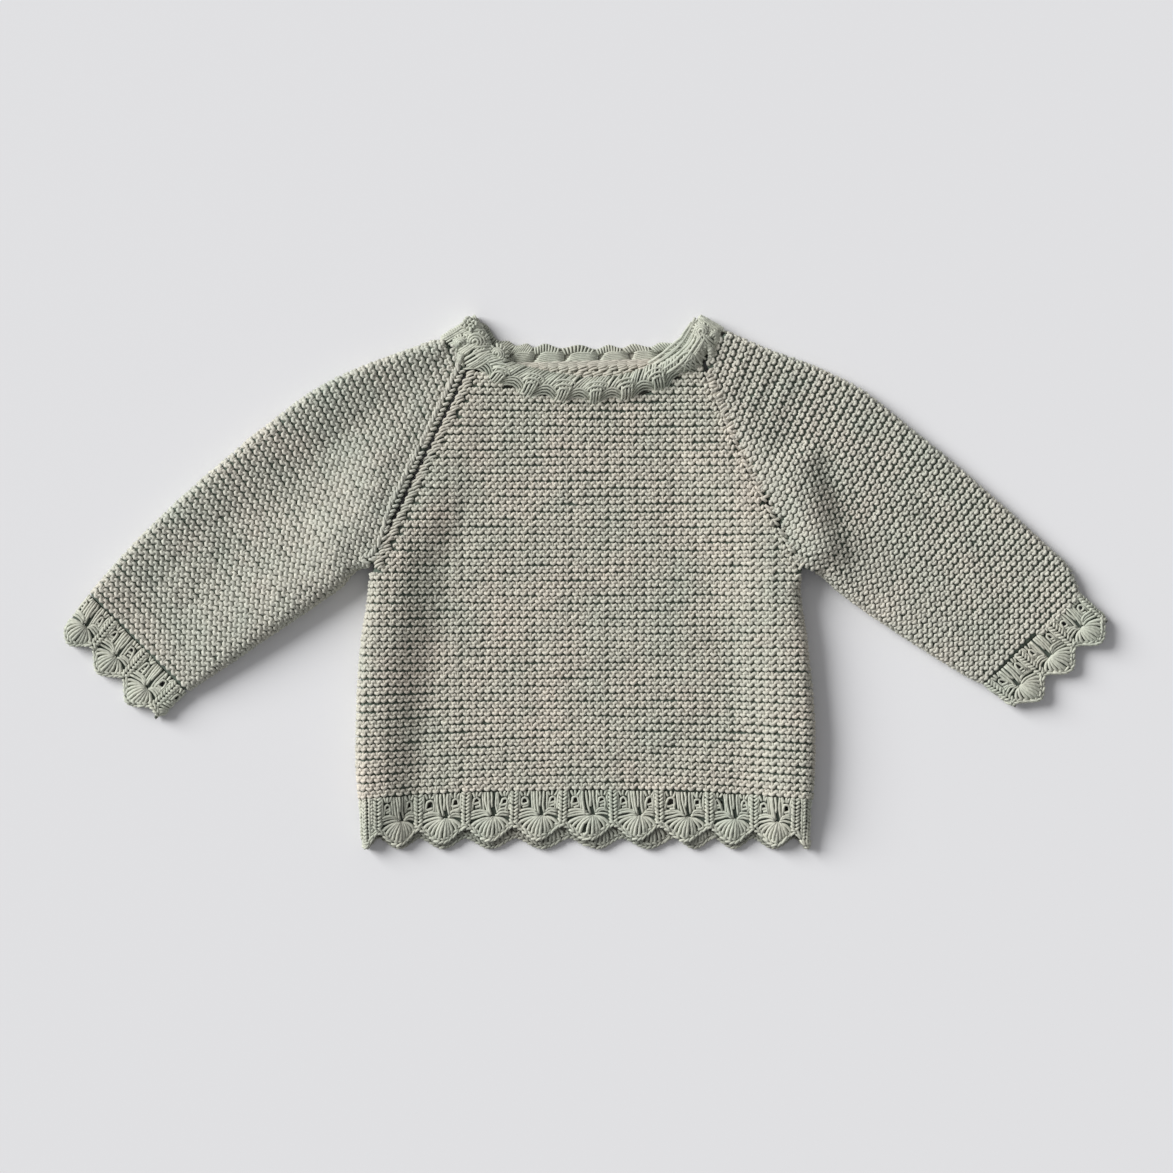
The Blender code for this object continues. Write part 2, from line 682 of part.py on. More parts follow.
def make_laces():
    for row in LACES:
        make_lace(dict(zip(LACE_COLUMNS, row)))


def cloth_side(place, neckline):
    """The point beside the sleeves' neck ends and the panel's neckline, a gap away from them."""
    sign = -1 if place < 0 else 1
    side = "left" if place < 0 else "right"
    line = raglan_of(side)
    on_shoulder = abs(place) > 1
    if on_shoulder:
        _, _, fold_x, fold_y = SLEEVES[side][0][1:5]
        x = lerp(line["top_x"], fold_x, abs(place) - 1)
        y = lerp(line["top_y"], fold_y, abs(place) - 1)
    else:
        x = lerp(raglan_of("left")["top_x"], raglan_of("right")["top_x"], (place + 1) / 2)
        y = neckline(place)
    beside = smooth((abs(place) - 1 + CORNER_BLEND) / CORNER_BLEND)
    return np.array((x - sign * BAND_GAP * beside, y + BAND_GAP * (not on_shoulder)))


def band_stations(open_side, neckline):
    """Stations round the neck: (place, cloth-side point, open-side point, 0 at a foot to 1 between)."""
    shoulder = [-2 + i / SHOULDER_STATIONS for i in range(SHOULDER_STATIONS)]
    middle = [-1 + 2 * i / NECKLINE_STATIONS for i in range(NECKLINE_STATIONS + 1)]
    stations = []
    for place in shoulder + middle + [-p for p in reversed(shoulder)]:
        on_neckline = min(1, max(-1, place))
        feet = (on_neckline - FIRST_FOOT) / FOOT_PITCH + (place - on_neckline) / SHOULDER_PITCH
        between = 0.5 - 0.5 * math.cos(2 * math.pi * feet)
        opening = along_table(open_side, OPEN_SIDE_COLUMNS, "place", ("x", "y"), place)
        stations.append((place, cloth_side(place, neckline), opening, between))
    return stations


def make_front_band():
    mesh = bmesh.new()
    tops, bottoms = [], []
    for place, cloth, opening, between in band_stations(FRONT_OPEN_SIDE, neckline_y):
        folded = smooth((abs(place) - FOLD_FROM) / (2 - FOLD_FROM))
        inward = (opening - cloth) / np.linalg.norm(opening - cloth)
        cloth = cloth + inward * FOOT_LIFT * between
        top, bottom = [], []
        for row in BAND_PROFILE:
            section = dict(zip(BAND_PROFILE_COLUMNS, row))
            x, y = lerp(cloth, opening, section["share"])
            crest = math.sin(math.pi * section["share"])
            rise = (FOOT_RISE * (1 - between) - FOLD_DROP * folded) * crest
            top.append((x, y, section["top"] + rise))
            bottom.append((x, y, section["bottom"]))
        tops.append(top)
        bottoms.append(bottom)
    close_walls(mesh, add_grid(mesh, tops), add_grid(mesh, bottoms))
    finish_piece("neck_edging_front", mesh, YARN_COLOURS["lace"])


def make_back_band():
    mesh = bmesh.new()
    tops, bottoms = [], []
    for _, cloth, opening, between in band_stations(BACK_OPEN_SIDE, back_neckline_y):
        outward = (opening - cloth) / np.linalg.norm(opening - cloth)
        opening = opening - outward * BACK_SCALLOP * (1 - between)
        top, bottom = [], []
        for row in BACK_PROFILE:
            section = dict(zip(BACK_PROFILE_COLUMNS, row))
            x, y = lerp(cloth, opening, section["share"])
            top.append((x, y, BACK_BAND_THICKNESS + section["raised"]))
            bottom.append((x, y, 0.0))
        tops.append(top)
        bottoms.append(bottom)
    close_walls(mesh, add_grid(mesh, tops), add_grid(mesh, bottoms))
    finish_piece("neck_edging_back", mesh, YARN_COLOURS["lace"])


def clear_scene():
    for old in list(bpy.data.objects):
        bpy.data.objects.remove(old, do_unlink=True)


def main():
    clear_scene()
    collection = bpy.data.collections.new("baby_sweater")
    bpy.context.scene.collection.children.link(collection)
    make_back_panel()
    make_front_panel()
    make_sleeve("left")
    make_sleeve("right")
    make_laces()
    make_back_band()
    make_front_band()


main()
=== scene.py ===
"""The looks of a hand-knitted baby sweater that lies flat: cotton yarn in garter stitch over thin cloth
walls, lace edgings at the hem and cuffs, and a gathered, rolled edging at the neck. Tables and sizes
are in millimetres, and meshes in metres."""

import math

import bpy
import numpy as np
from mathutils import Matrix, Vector


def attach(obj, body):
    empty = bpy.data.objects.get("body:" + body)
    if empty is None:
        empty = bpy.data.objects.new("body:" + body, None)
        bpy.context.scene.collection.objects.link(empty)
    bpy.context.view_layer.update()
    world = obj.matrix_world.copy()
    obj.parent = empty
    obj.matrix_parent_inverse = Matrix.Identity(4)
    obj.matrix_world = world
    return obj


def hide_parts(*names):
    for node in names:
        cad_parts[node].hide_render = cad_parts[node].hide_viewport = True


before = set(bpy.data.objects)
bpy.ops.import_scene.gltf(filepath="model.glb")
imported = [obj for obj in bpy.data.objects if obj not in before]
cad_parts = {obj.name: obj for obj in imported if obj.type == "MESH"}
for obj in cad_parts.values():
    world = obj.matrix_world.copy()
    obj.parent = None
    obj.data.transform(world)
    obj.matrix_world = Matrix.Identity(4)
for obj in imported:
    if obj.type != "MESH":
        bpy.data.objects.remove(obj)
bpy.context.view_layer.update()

MM = 0.001
STEP = 0.35  # between the points of a face that give a normal
rng = np.random.default_rng(7)

# ---------------------------------------------------------------- sizes shared with the solids

CLOTH = 3.2
LACE = 2.0
LAYER_GAP = 0.4
SEAM_GAP = 0.3
LAID = 2 * CLOTH + LAYER_GAP
TABLE = 0.05  # nothing lies lower than this over the table

HEM_Y = -124.5
HEM_BOW = 5.2
HALF_HEM = 130.0  # width of the bow on each side
NECK_Y = 104.0
NECK_SQUARENESS = 2.3
ARMPIT_BLEND = 12.0

RAGLANS = {
    "left": {"top_x": -67.3, "top_y": 123.3, "armpit_x": -123.1, "armpit_y": 9.5, "bow": -0.6},
    "right": {"top_x": 67.9, "top_y": 126.8, "armpit_x": 125.4, "armpit_y": 6.6, "bow": -3.0},
}
SIDE_SIGN = {"left": -1, "right": 1}

SIDE_COLUMNS = ("y", "left", "right")
SIDES = (
    (9.5, -123.1, 125.2),
    (2.0, -124.2, 123.0),
    (-11.8, -125.4, 123.4),
    (-32.5, -128.6, 126.5),
    (-53.2, -130.4, 128.8),
    (-80.8, -131.6, 131.0),
    (-108.4, -131.6, 131.0),
    (-124.5, -130.5, 130.2),
    (-160.0, -129.0, 129.0),
)

# The cloth stands up a little along its sides, more than its solid does, and falls off inwards over a reach
SWELL_COLUMNS = ("y", "left", "right", "left_reach", "right_reach")
SWELLS = (
    (124.6, 0.8, 0.7, 14.0, 14.0),
    (84.0, 1.4, 1.6, 20.0, 24.0),
    (60.0, 2.8, 4.8, 26.0, 36.0),
    (36.0, 6.0, 8.0, 30.0, 44.0),
    (9.5, 8.8, 9.2, 33.0, 46.0),
    (-20.0, 9.6, 8.8, 34.0, 44.0),
    (-60.0, 8.8, 8.2, 31.0, 38.0),
    (-100.0, 7.8, 7.8, 27.0, 33.0),
    (-124.5, 6.6, 7.0, 23.0, 30.0),
)
# Soft creases as ridges, from one end to the other, with their height (troughs are below 0) and how far
# each falls off to the left and right of the way along it
CREASES = (
    (124.0, 70.0, 136.0, 16.0, 17.0, 24.0, 5.0),
    (-118.0, 78.0, -140.0, 18.0, 18.0, 26.0, 1.6),
    (-96.0, 112.0, -168.0, 66.0, 12.0, 12.0, -0.5),
    (84.0, 116.0, 92.0, 132.0, 5.0, 5.0, 0.9),
    (96.0, 104.0, 105.0, 124.0, 5.0, 5.0, 0.9),
    (106.0, 94.0, 117.0, 118.0, 6.0, 6.0, 0.9),
    (150.0, 62.0, 186.0, 44.0, 12.0, 10.0, 1.2),
    (-150.0, 30.0, -196.0, 30.0, 14.0, 12.0, 1.0),
    (-214.0, 24.0, -236.0, -6.0, 12.0, 12.0, 0.8),
    (212.0, 22.0, 232.0, -10.0, 12.0, 12.0, 0.8),
    (-60.0, 92.0, -34.0, 60.0, 14.0, 14.0, -0.8),
    (20.0, 96.0, 52.0, 74.0, 14.0, 16.0, -0.8),
    (-58.0, 20.0, 20.0, 6.0, 14.0, 16.0, 0.8),
    (-20.0, -44.0, 66.0, -30.0, 14.0, 14.0, 0.9),
    (-70.0, -86.0, 10.0, -100.0, 14.0, 14.0, 0.8),
    (30.0, -116.0, 74.0, -76.0, 14.0, 14.0, -0.8),
)
CREASE_END = 14.0  # length over which a crease dies out at each end
# How far inside an edge the creases start, and the reach over which they grow
BODY_CREASE_EDGE = (6.0, 20.0)
SLEEVE_CREASE_EDGE = (4.0, 14.0)
SWELL_CREST = 12.0  # width of the raised strip along a side before it falls off

SLEEVE_COLUMNS = ("ridge", "under_x", "under_y", "fold_x", "fold_y", "under_swell", "fold_swell", "rolled")
SLEEVES = {
    "left": (
        (0, -67.3, 123.3, -83.4, 140.6, 0.8, 2.0, 0.0),
        (6, -81.6, 94.9, -107.0, 132.0, 0.9, 1.6, 0.0),
        (12, -95.8, 66.4, -130.5, 123.3, 2.8, 2.2, 0.0),
        (18, -109.6, 38.0, -153.0, 112.4, 6.0, 2.8, 0.0),
        (24, -123.1, 9.5, -173.7, 98.0, 8.8, 3.2, 0.0),
        (25, -128.4, 8.6, -177.5, 95.0, 8.7, 3.2, 0.4),
        (27, -134.4, 5.2, -185.2, 88.8, 8.4, 3.2, 1.0),
        (29, -139.4, -1.0, -191.5, 84.2, 8.2, 3.2, 1.0),
        (32, -148.4, -7.8, -203.6, 73.9, 7.8, 3.0, 1.0),
        (40, -175.4, -26.2, -232.9, 48.6, 6.6, 2.6, 1.0),
        (48, -202.4, -44.6, -260.5, 21.6, 4.4, 2.0, 1.0),
        (56, -230.0, -63.0, -285.8, -6.6, 1.2, 1.2, 1.0),
    ),
    "right": (
        (0, 67.9, 126.8, 80.5, 144.6, 0.7, 2.0, 0.0),
        (6, 79.4, 96.8, 105.8, 133.7, 0.8, 1.6, 0.0),
        (12, 93.4, 66.7, 132.3, 123.9, 4.4, 1.6, 0.0),
        (18, 108.6, 36.7, 157.6, 111.3, 7.8, 1.6, 0.0),
        (24, 125.4, 6.6, 180.0, 94.0, 9.0, 1.6, 0.0),
        (25, 130.4, 5.9, 183.4, 91.2, 8.2, 1.6, 0.4),
        (27, 136.0, 3.6, 190.3, 85.4, 6.8, 1.6, 1.0),
        (29, 142.4, -2.6, 196.4, 80.7, 5.6, 1.6, 1.0),
        (32, 151.2, -9.4, 208.4, 71.0, 4.2, 1.2, 1.0),
        (40, 177.1, -27.2, 236.4, 46.9, 3.2, 1.2, 1.0),
        (48, 202.4, -43.4, 263.0, 22.7, 2.4, 1.2, 1.0),
        (52, 215.7, -51.4, 277.6, 8.6, 1.5, 1.2, 1.0),
        (56, 228.9, -58.6, 284.3, -6.6, 1.2, 1.2, 1.0),
    ),
}
SLEEVE_RIDGES = 56
UNDER_REACH = {"left": 0.55, "right": 0.38}  # share of a sleeve's width over which its lower side rises
FOLD_REACH = 0.3  # and the share over which its fold does

# Where the knitting is tighter, with fatter yarn and smaller gaps, or looser (below 0): the ends of a line,
# the reach round it, and the amount
TENSIONS = (
    (97.0, 62.0, 104.0, -112.0, 24.0, 0.13),
    (-98.0, 16.0, -106.0, -118.0, 20.0, -0.14),
    (-98.0, 26.0, -101.0, -16.0, 18.0, -0.09),
    (-136.0, 70.0, -153.0, 19.0, 28.0, 0.15),
    (-160.0, 10.0, -222.0, -38.0, 20.0, 0.12),
    (118.0, 108.0, 262.0, -24.0, 55.0, -0.12),
    (94.0, 99.0, 149.0, 42.0, 18.0, -0.1),
    (148.0, 36.0, 150.0, 0.0, 18.0, -0.16),
    (84.0, 122.0, 116.0, 94.0, 20.0, -0.08),
    (-20.0, 96.0, 30.0, 96.0, 26.0, -0.07),
    (-80.0, 122.0, -118.0, 60.0, 12.0, -0.05),
    (-96.0, 104.0, -250.0, -24.0, 70.0, 0.15),
)

# The lace edging: fans with a scalloped edge and two eyelets each
FAN_TIP = 28.8
FAN_ROUNDNESS = 1.6
FAN_LINES = (0.0, 0.13, 0.33, 0.5, 0.67, 0.87, 1.0)
FAN_DOMES = (0.7, 0.0, 0.0, 0.7, 0.0, 0.0, 0.7)  # how far the lace stands up along those lines
EYELET_SHARES = (0.23, 0.77)
EYELET_TOP = 3.2
EYELET_DEPTH = 5.9
EYELET_WIDTH = 3.3
EYELET_HEIGHT = 4.4
NARROW_FAN = 16.0
MEAN_LACE_DEPTH = 27.0
LACE_CURL = 6.3  # length of a strip that curls at each of its ends
CURL_PAST = -0.3  # share of the curl by which a point may lie past the end
LAST_FAN_BLEND = 1 / 3
FRONT_NOTCHES = (-3.0, 12.3, 35.6, 63.0, 90.8, 118.9, 147.3, 173.9, 202.8, 228.5, 252.1, 268.0)
BACK_NOTCHES = (-3.0, 12.3, 36.4, 62.9, 92.2, 123.3, 152.0, 182.5, 205.5, 227.9, 252.1, 268.0)
LEFT_CUFF_NOTCHES = (-2.0, 23.8, 49.6, 75.4, 101.2)
RIGHT_CUFF_NOTCHES = (-21.5, 3.1, 27.7, 52.3, 76.9, 101.5)
LACE_COLUMNS = (
    "name", "upper", "start_x", "start_y", "end_x", "end_y", "outward", "bow", "start_taper", "end_taper",
    "notches", "notch", "end_depth", "seam_centre", "seam_radius", "tip_radius",
)
LEFT_CUFF = (-285.8, -6.6, -230.0, -63.0, -1, 0.0, 4.6, 1.5, LEFT_CUFF_NOTCHES, 20.6, 0.84, 4.0, 3.4, 3.0)
RIGHT_CUFF = (284.3, -6.6, 228.9, -58.6, 1, 0.0, -1.7, 5.5, RIGHT_CUFF_NOTCHES, 20.6, 0.84, 4.0, 3.4, 3.0)
LACES = (
    ("hem_lace_front", True, -130.0, -124.5, 129.8, -124.5, -1, 5.2, 1.2, 1.2, FRONT_NOTCHES, 20.6, 1.0,
     5.0, 4.4, 3.3),
    ("hem_lace_back", False, -130.0, -124.5, 129.8, -124.5, -1, 0.0, 1.2, 1.2, BACK_NOTCHES, 22.6, 1.0,
     5.0, 4.4, 3.3),
    ("cuff_left_lace_upper", True, *LEFT_CUFF),
    ("cuff_left_lace_lower", False, *LEFT_CUFF),
    ("cuff_right_lace_upper", True, *RIGHT_CUFF),
    ("cuff_right_lace_lower", False, *RIGHT_CUFF),
)
SIDE_LACE_REACH = 30.0
HEM_LIFT_DEPTH = 0.85  # share of the hem lace's depth over which it comes down from the raised sides

# The neck edging. A place round the neck runs from -2, at the left sleeve's fold, through -1 and 1, at
# the tops of the raglan seams, to 2 at the right sleeve's fold.
MEASURED_AT = 0.6  # share across at which lengths round the neck are measured
BAND_STEP = 0.02  # share across between the points that give a normal
FEET = 7
FIRST_FOOT = -0.787
FOOT_PITCH = 0.284
SHOULDER_PITCH = 0.8
FOOT_LIFT = 2.0
FOOT_RISE = 0.7
BAND_GAP = 0.55
CORNER_BLEND = 0.1
FOLD_DROP = 2.2
FOLD_FROM = 1.5
# The roll's lip on the open side: share across past 1, how far it drops, and its bulge as a share
LIP_SHARE = 0.16
LIP_DROP = 3.6
LIP_BULGE = 0.05
LIP_TURN = 0.8 * math.pi  # the angle of the sine that forms the bulge
# Shares across the front's edging, and the height of its top there
BAND_PROFILE = ((0.0, 7.0), (0.22, 9.4), (0.55, 10.6), (0.82, 10.0), (1.0, 8.4))
FRONT_OPEN_SIDE = (
    (-2.0, -63.3, 152.7),
    (-1.6, -59.8, 146.3),
    (-1.3, -55.8, 138.9),
    (-1.0, -52.9, 133.1),
    (-0.8, -43.7, 126.8),
    (-0.55, -30.5, 122.8),
    (-0.27, -13.8, 119.3),
    (0.06, 6.9, 117.6),
    (0.38, 24.2, 119.9),
    (0.65, 38.0, 125.1),
    (0.85, 49.5, 130.2),
    (1.0, 57.5, 135.4),
    (1.5, 61.5, 144.6),
    (2.0, 65.6, 152.7),
)
BACK_OPEN_SIDE = (
    (-2.0, -62.7, 152.4),
    (-1.6, -57.5, 148.6),
    (-1.3, -52.3, 144.6),
    (-1.0, -47.2, 139.8),
    (-0.8, -39.1, 138.2),
    (-0.3, -20.1, 137.6),
    (0.0, 1.7, 136.8),
    (0.4, 22.4, 137.4),
    (0.8, 43.7, 138.4),
    (1.0, 52.3, 140.9),
    (1.5, 56.9, 147.3),
    (2.0, 65.0, 152.7),
)
BACK_BAND_THICKNESS = 3.0
BACK_SCALLOP = 2.4

# ---------------------------------------------------------------- sizes of the knitting

STITCH = 4.2  # width of a stitch
YARN = 0.99  # radius of the yarn in a stitch
RIDGE_LOW = 4.24  # from ridge to ridge at the hem
RIDGE_HIGH = 4.52  # and at the neck
WALL_SINK = 0.9  # the cloth walls lie this far below the nominal face, under the stitches
WALL = 1.4  # thickness of those walls

# How the cloth rolls in at its edges: the radius at a raglan seam, and the angles, in radians, over which
# the knitting goes round at the raglans and at the sides
RAGLAN_ROLL = {"left": 2.8, "right": 1.7}
RAGLAN_TURN = {"left": 1.75, "right": 1.3}
SIDE_TURN = 2.5
SEAM_STRIP = {"left": 5.4, "right": 4.4}  # width of the seam's own strands along the front's edge
SLEEVE_STRIP = {"left": 6.6, "right": 0.9}  # and along the sleeve's

# One garter stitch as three lengths of yarn. The first two columns are shares of the stitch's width and
# of the ridge's height, and the last is the yarn's height over the cloth.
FROWN = ((-0.265, -0.02, -1.2), (-0.205, 0.19, -0.2), (0.0, 0.305, 0.12), (0.205, 0.19, -0.2),
         (0.265, -0.02, -1.2))
SMILE = ((-0.285, 0.08, -1.1), (-0.225, -0.17, -0.15), (0.0, -0.29, 0.05), (0.225, -0.17, -0.15),
         (0.285, 0.08, -1.1))
BEHIND = ((0.01, -0.2, -0.7), (-0.01, 0.12, -0.55), (0.0, 0.46, -0.9))
STITCH_PARTS = ((FROWN, 0.0, 1.04), (SMILE, 0.5, 1.08), (BEHIND, 0.5, 0.85))  # shift, share of the radius
LOOSENESS = {  # standard deviations: of size, tilt, tone and radius as shares, and of places in millimetres
    "size": 0.06, "tilt": 0.1, "along": 0.13, "across": 0.12, "up": 0.1, "tone": 0.05, "radius": 0.04,
}
MEAN_TILT = 0.05
# Waves in the front's knitting, as a height and the lengths in which they turn by a radian
SWAY = (0.25, 17.0)
RIDGE_WAVES = ((0.3, 23.0, 9.0), (0.15, 9.0, 1.0))
RIDGE_LOOSENESS = 0.012
WALES = 36  # stitches on each side of the front's middle
BOW_FADE = 90.0  # height over which the ridges lose the hem's bow


# ---------------------------------------------------------------- small maths


def lerp(a, b, share):
    return a + (b - a) * share


def smooth(share):
    share = np.clip(share, 0.0, 1.0)
    return share * share * (3 - 2 * share)


def curve(keys, values, at):
    """Values on a smooth curve through a table's rows, at any array of keys."""
    keys = np.asarray(keys, float)
    values = np.asarray(values, float)
    if keys[0] > keys[-1]:
        keys, values = keys[::-1], values[::-1]
    at = np.clip(at, keys[0], keys[-1])
    slopes = np.gradient(values, keys, axis=0)
    i = np.clip(np.searchsorted(keys, at, "right") - 1, 0, len(keys) - 2)
    step = keys[i + 1] - keys[i]
    t = (at - keys[i]) / step
    if values.ndim > 1:
        step, t = step[..., None], t[..., None]
    ends = lerp(values[i], values[i + 1], t * t * (3 - 2 * t))
    return ends + step * t * (1 - t) * ((1 - t) * slopes[i] - t * slopes[i + 1])


def tabled(rows, columns, key, wanted, at):
    """One or more named columns of a table, on a smooth curve at an array of keys."""
    table = np.array(rows, float)
    several = not isinstance(wanted, str)
    index = [columns.index(name) for name in wanted] if several else columns.index(wanted)
    return curve(table[:, columns.index(key)], table[:, index], np.asarray(at, float))


def unit(vectors):
    return vectors / np.maximum(np.linalg.norm(vectors, axis=-1, keepdims=True), 1e-12)


def grids(*values):
    """The values as arrays of one shape."""
    return np.broadcast_arrays(*(np.asarray(value, float) for value in values))


def shares(rows, columns):
    """Shares from 0 to 1 down the rows and across the columns of a grid."""
    return np.linspace(0, 1, rows)[:, None], np.linspace(0, 1, columns)[None, :]


def faded(inside, edge):
    """0 at an edge and 1 well inside it."""
    start, reach = edge
    return smooth((inside - start) / reach)


def roll_in(inside, radius, z):
    """Where a face rolls in at its edge, how far from the edge it then is, and its height."""
    turn = np.clip(1 - inside / radius, 0, math.pi)
    return inside < radius, radius * (1 - np.sin(turn)), z - radius * (1 - np.cos(turn))


# ---------------------------------------------------------------- faces that the yarn lies on


def raglan_x(side, y):
    line = RAGLANS[side]
    share = (line["top_y"] - y) / (line["top_y"] - line["armpit_y"])
    return lerp(line["top_x"], line["armpit_x"], share) + 4 * line["bow"] * share * (1 - share)


def edge_x(side, y):
    below = tabled(SIDES, SIDE_COLUMNS, "y", side, y)
    return np.where(y > RAGLANS[side]["armpit_y"], raglan_x(side, y), below)


def rolled(side, y):
    return smooth((RAGLANS[side]["armpit_y"] - y) / ARMPIT_BLEND)


def neck_level(x):
    """The way across the neck, from -1 to 1, and the level there between the raglans' tops."""
    left, right = RAGLANS["left"], RAGLANS["right"]
    across = np.clip(2 * (x - left["top_x"]) / (right["top_x"] - left["top_x"]) - 1, -1, 1)
    return across, lerp(left["top_y"], right["top_y"], (across + 1) / 2)


def back_neckline_y(x):
    """The back neckline, which lies higher than the front one."""
    return neck_level(x)[1]


def neckline_y(x):
    """The front neckline over x."""
    across, ends = neck_level(x)
    return ends - (ends - NECK_Y) * (1 - np.abs(across) ** NECK_SQUARENESS)


def hem_y(x):
    across = np.clip(x / HALF_HEM, -1, 1)
    return HEM_Y + HEM_BOW * (1 - across * across)


def swell(side, y, inside):
    amount, reach = np.moveaxis(tabled(SWELLS, SWELL_COLUMNS, "y", (side, side + "_reach"), y), -1, 0)
    return amount * (1 - smooth((inside - SWELL_CREST) / reach))


def creased(x, y):
    """Height of the listed creases over x and y."""
    total = np.zeros(np.shape(x))
    for x0, y0, x1, y1, left, right, height in CREASES:
        along = np.array((x1 - x0, y1 - y0))
        length = math.hypot(*along)
        along = along / length
        run = (x - x0) * along[0] + (y - y0) * along[1]
        off = along[0] * (y - y0) - along[1] * (x - x0)
        off = np.where(off > 0, off / left, -off / right)
        ends = smooth((run + CREASE_END) / CREASE_END) * smooth((length - run + CREASE_END) / CREASE_END)
        total = total + height * ends * (1 - smooth(off))
    return total


def tension(x, y):
    """How much fatter the yarn is over x and y than elsewhere."""
    total = np.zeros(np.shape(x))
    for x0, y0, x1, y1, reach, amount in TENSIONS:
        dx, dy = x1 - x0, y1 - y0
        share = np.clip(((x - x0) * dx + (y - y0) * dy) / (dx * dx + dy * dy), 0, 1)
        away = np.hypot(x - x0 - share * dx, y - y0 - share * dy)
        total = total + amount * (1 - smooth(away / reach))
    return 1 + total


def body_top(x, y):
    left = x - edge_x("left", y)
    right = edge_x("right", y) - x
    top = LAID + swell("left", y, left) + swell("right", y, right)
    return top + creased(x, y) * faded(np.minimum(left, right), BODY_CREASE_EDGE)


def edge_roll(side, y):
    """Radius of the roll along the front's edge."""
    side_radius = (LAID + tabled(SWELLS, SWELL_COLUMNS, "y", side, y)) / 2
    return lerp(RAGLAN_ROLL[side], side_radius, rolled(side, y))


def edge_turn(side, y):
    return lerp(RAGLAN_TURN[side], SIDE_TURN, rolled(side, y))


def front_face(x, y):
    """A point of the front's outer face. Past an edge, x runs on round the roll."""
    x, y = grids(x, y)
    over = x
    z = body_top(x, y)
    for side, sign in SIDE_SIGN.items():
        edge = edge_x(side, y)
        rolls, inset, level = roll_in(sign * (edge - x), edge_roll(side, y), z)
        over = np.where(rolls, edge - sign * inset, over)
        z = np.where(rolls, level, z)
    return np.stack([over, y, z], -1)


class Sleeve:
    """A sleeve's sections, from the neck to the cuff, and the face of its cloth."""

    APART = 0.25  # ridges between two sections
    SPARE = 2.0  # ridges past each end

    def __init__(self, side):
        self.side = side
        self.sign = SIDE_SIGN[side]
        ridges = np.arange(-self.SPARE, SLEEVE_RIDGES + self.SPARE + self.APART / 2, self.APART)
        names = SLEEVE_COLUMNS[1:]
        table = tabled(SLEEVES[side], SLEEVE_COLUMNS, "ridge", names, ridges)
        for ends, step in ((ridges < 0, 1), (ridges > SLEEVE_RIDGES, -1)):
            at = 0.0 if step > 0 else float(SLEEVE_RIDGES)
            first = tabled(SLEEVES[side], SLEEVE_COLUMNS, "ridge", names, np.array([at, at + step]))
            table[ends] = first[0] + (ridges[ends] - at)[:, None] * (first[1] - first[0]) * step
        self.ridges = ridges
        self.start = table[:, 0:2]
        self.end = table[:, 2:4]
        self.heights = LAID + table[:, 4:6]
        self.rolled = smooth(table[:, 6])

    def section(self, ridge):
        """The section's measures at these ridges, as a dictionary of arrays."""
        place = (np.asarray(ridge, float) - self.ridges[0]) / self.APART
        i = np.clip(np.floor(place).astype(int), 0, len(self.ridges) - 2)
        t = place - i

        def at(values):
            share = t[..., None] if values.ndim > 1 else t
            return lerp(values[i], values[i + 1], share)

        start, end, heights, roll = at(self.start), at(self.end), at(self.heights), at(self.rolled)
        width = np.linalg.norm(end - start, axis=-1)
        under_radius = lerp(RAGLAN_ROLL[self.side], heights[..., 0] / 2, roll)
        return {
            "start": start,
            "across": (end - start) / width[..., None],
            "width": width,
            "under_top": heights[..., 0],
            "fold_top": heights[..., 1],
            "under_radius": under_radius,
            "under_turn": lerp(RAGLAN_TURN[self.side], SIDE_TURN, roll),
            "fold_radius": heights[..., 1] / 2,
        }

    def locate(self, x, y):
        """The ridge and the distance from the underarm's or raglan's edge, of points over the table."""
        dx = x[..., None] - self.start[:, 0]
        dy = y[..., None] - self.start[:, 1]
        along = self.end - self.start
        beyond = -self.sign * (along[:, 0] * dy - along[:, 1] * dx)
        i = np.clip((beyond > 0).sum(-1) - 1, 0, len(self.ridges) - 2)
        first = np.take_along_axis(beyond, i[..., None], -1)[..., 0]
        second = np.take_along_axis(beyond, i[..., None] + 1, -1)[..., 0]
        ridge = self.ridges[i] + self.APART * first / np.where(first == second, 1, first - second)
        ridge = np.clip(ridge, self.ridges[0], self.ridges[-1])
        part = self.section(ridge)
        distance = ((np.stack([x, y], -1) - part["start"]) * part["across"]).sum(-1)
        return ridge, distance

    def on_section(self, part, distance):
        """A point of the outer face, at a distance along the cloth that may run on round both edges."""
        width, fold_radius = part["width"], part["fold_radius"]
        near_under = 1 - smooth((distance - part["under_top"] / 2) / (UNDER_REACH[self.side] * width))
        near_fold = 1 - smooth((width - fold_radius - distance) / (FOLD_REACH * width))
        z = LAID + (part["under_top"] - LAID) * near_under
        z = z + (part["fold_top"] - LAID) * near_fold * (1 - near_under)
        flat = part["start"] + part["across"] * np.clip(distance, 0, width)[..., None]
        inside = np.minimum(distance, width - distance)
        z = z + creased(flat[..., 0], flat[..., 1]) * faded(inside, SLEEVE_CREASE_EDGE)
        rolls, inset, level = roll_in(distance, part["under_radius"], z)
        place = np.where(rolls, inset, distance)
        z = np.where(rolls, level, z)
        turn = 1 - (width - distance) / fold_radius
        rolls = turn > 0
        below = np.maximum(turn - math.pi, 0) * fold_radius
        turn = np.clip(turn, 0, math.pi)
        place = np.where(rolls, width - fold_radius * (1 - np.sin(turn)) - below, place)
        z = np.where(rolls, fold_radius * (1 + np.cos(turn)), z)
        over = part["start"] + part["across"] * place[..., None]
        return np.concatenate([over, z[..., None]], -1)

    def face(self, x, y):
        x, y = grids(x, y)
        ridge, distance = self.locate(x, y)
        return self.on_section(self.section(ridge), distance)


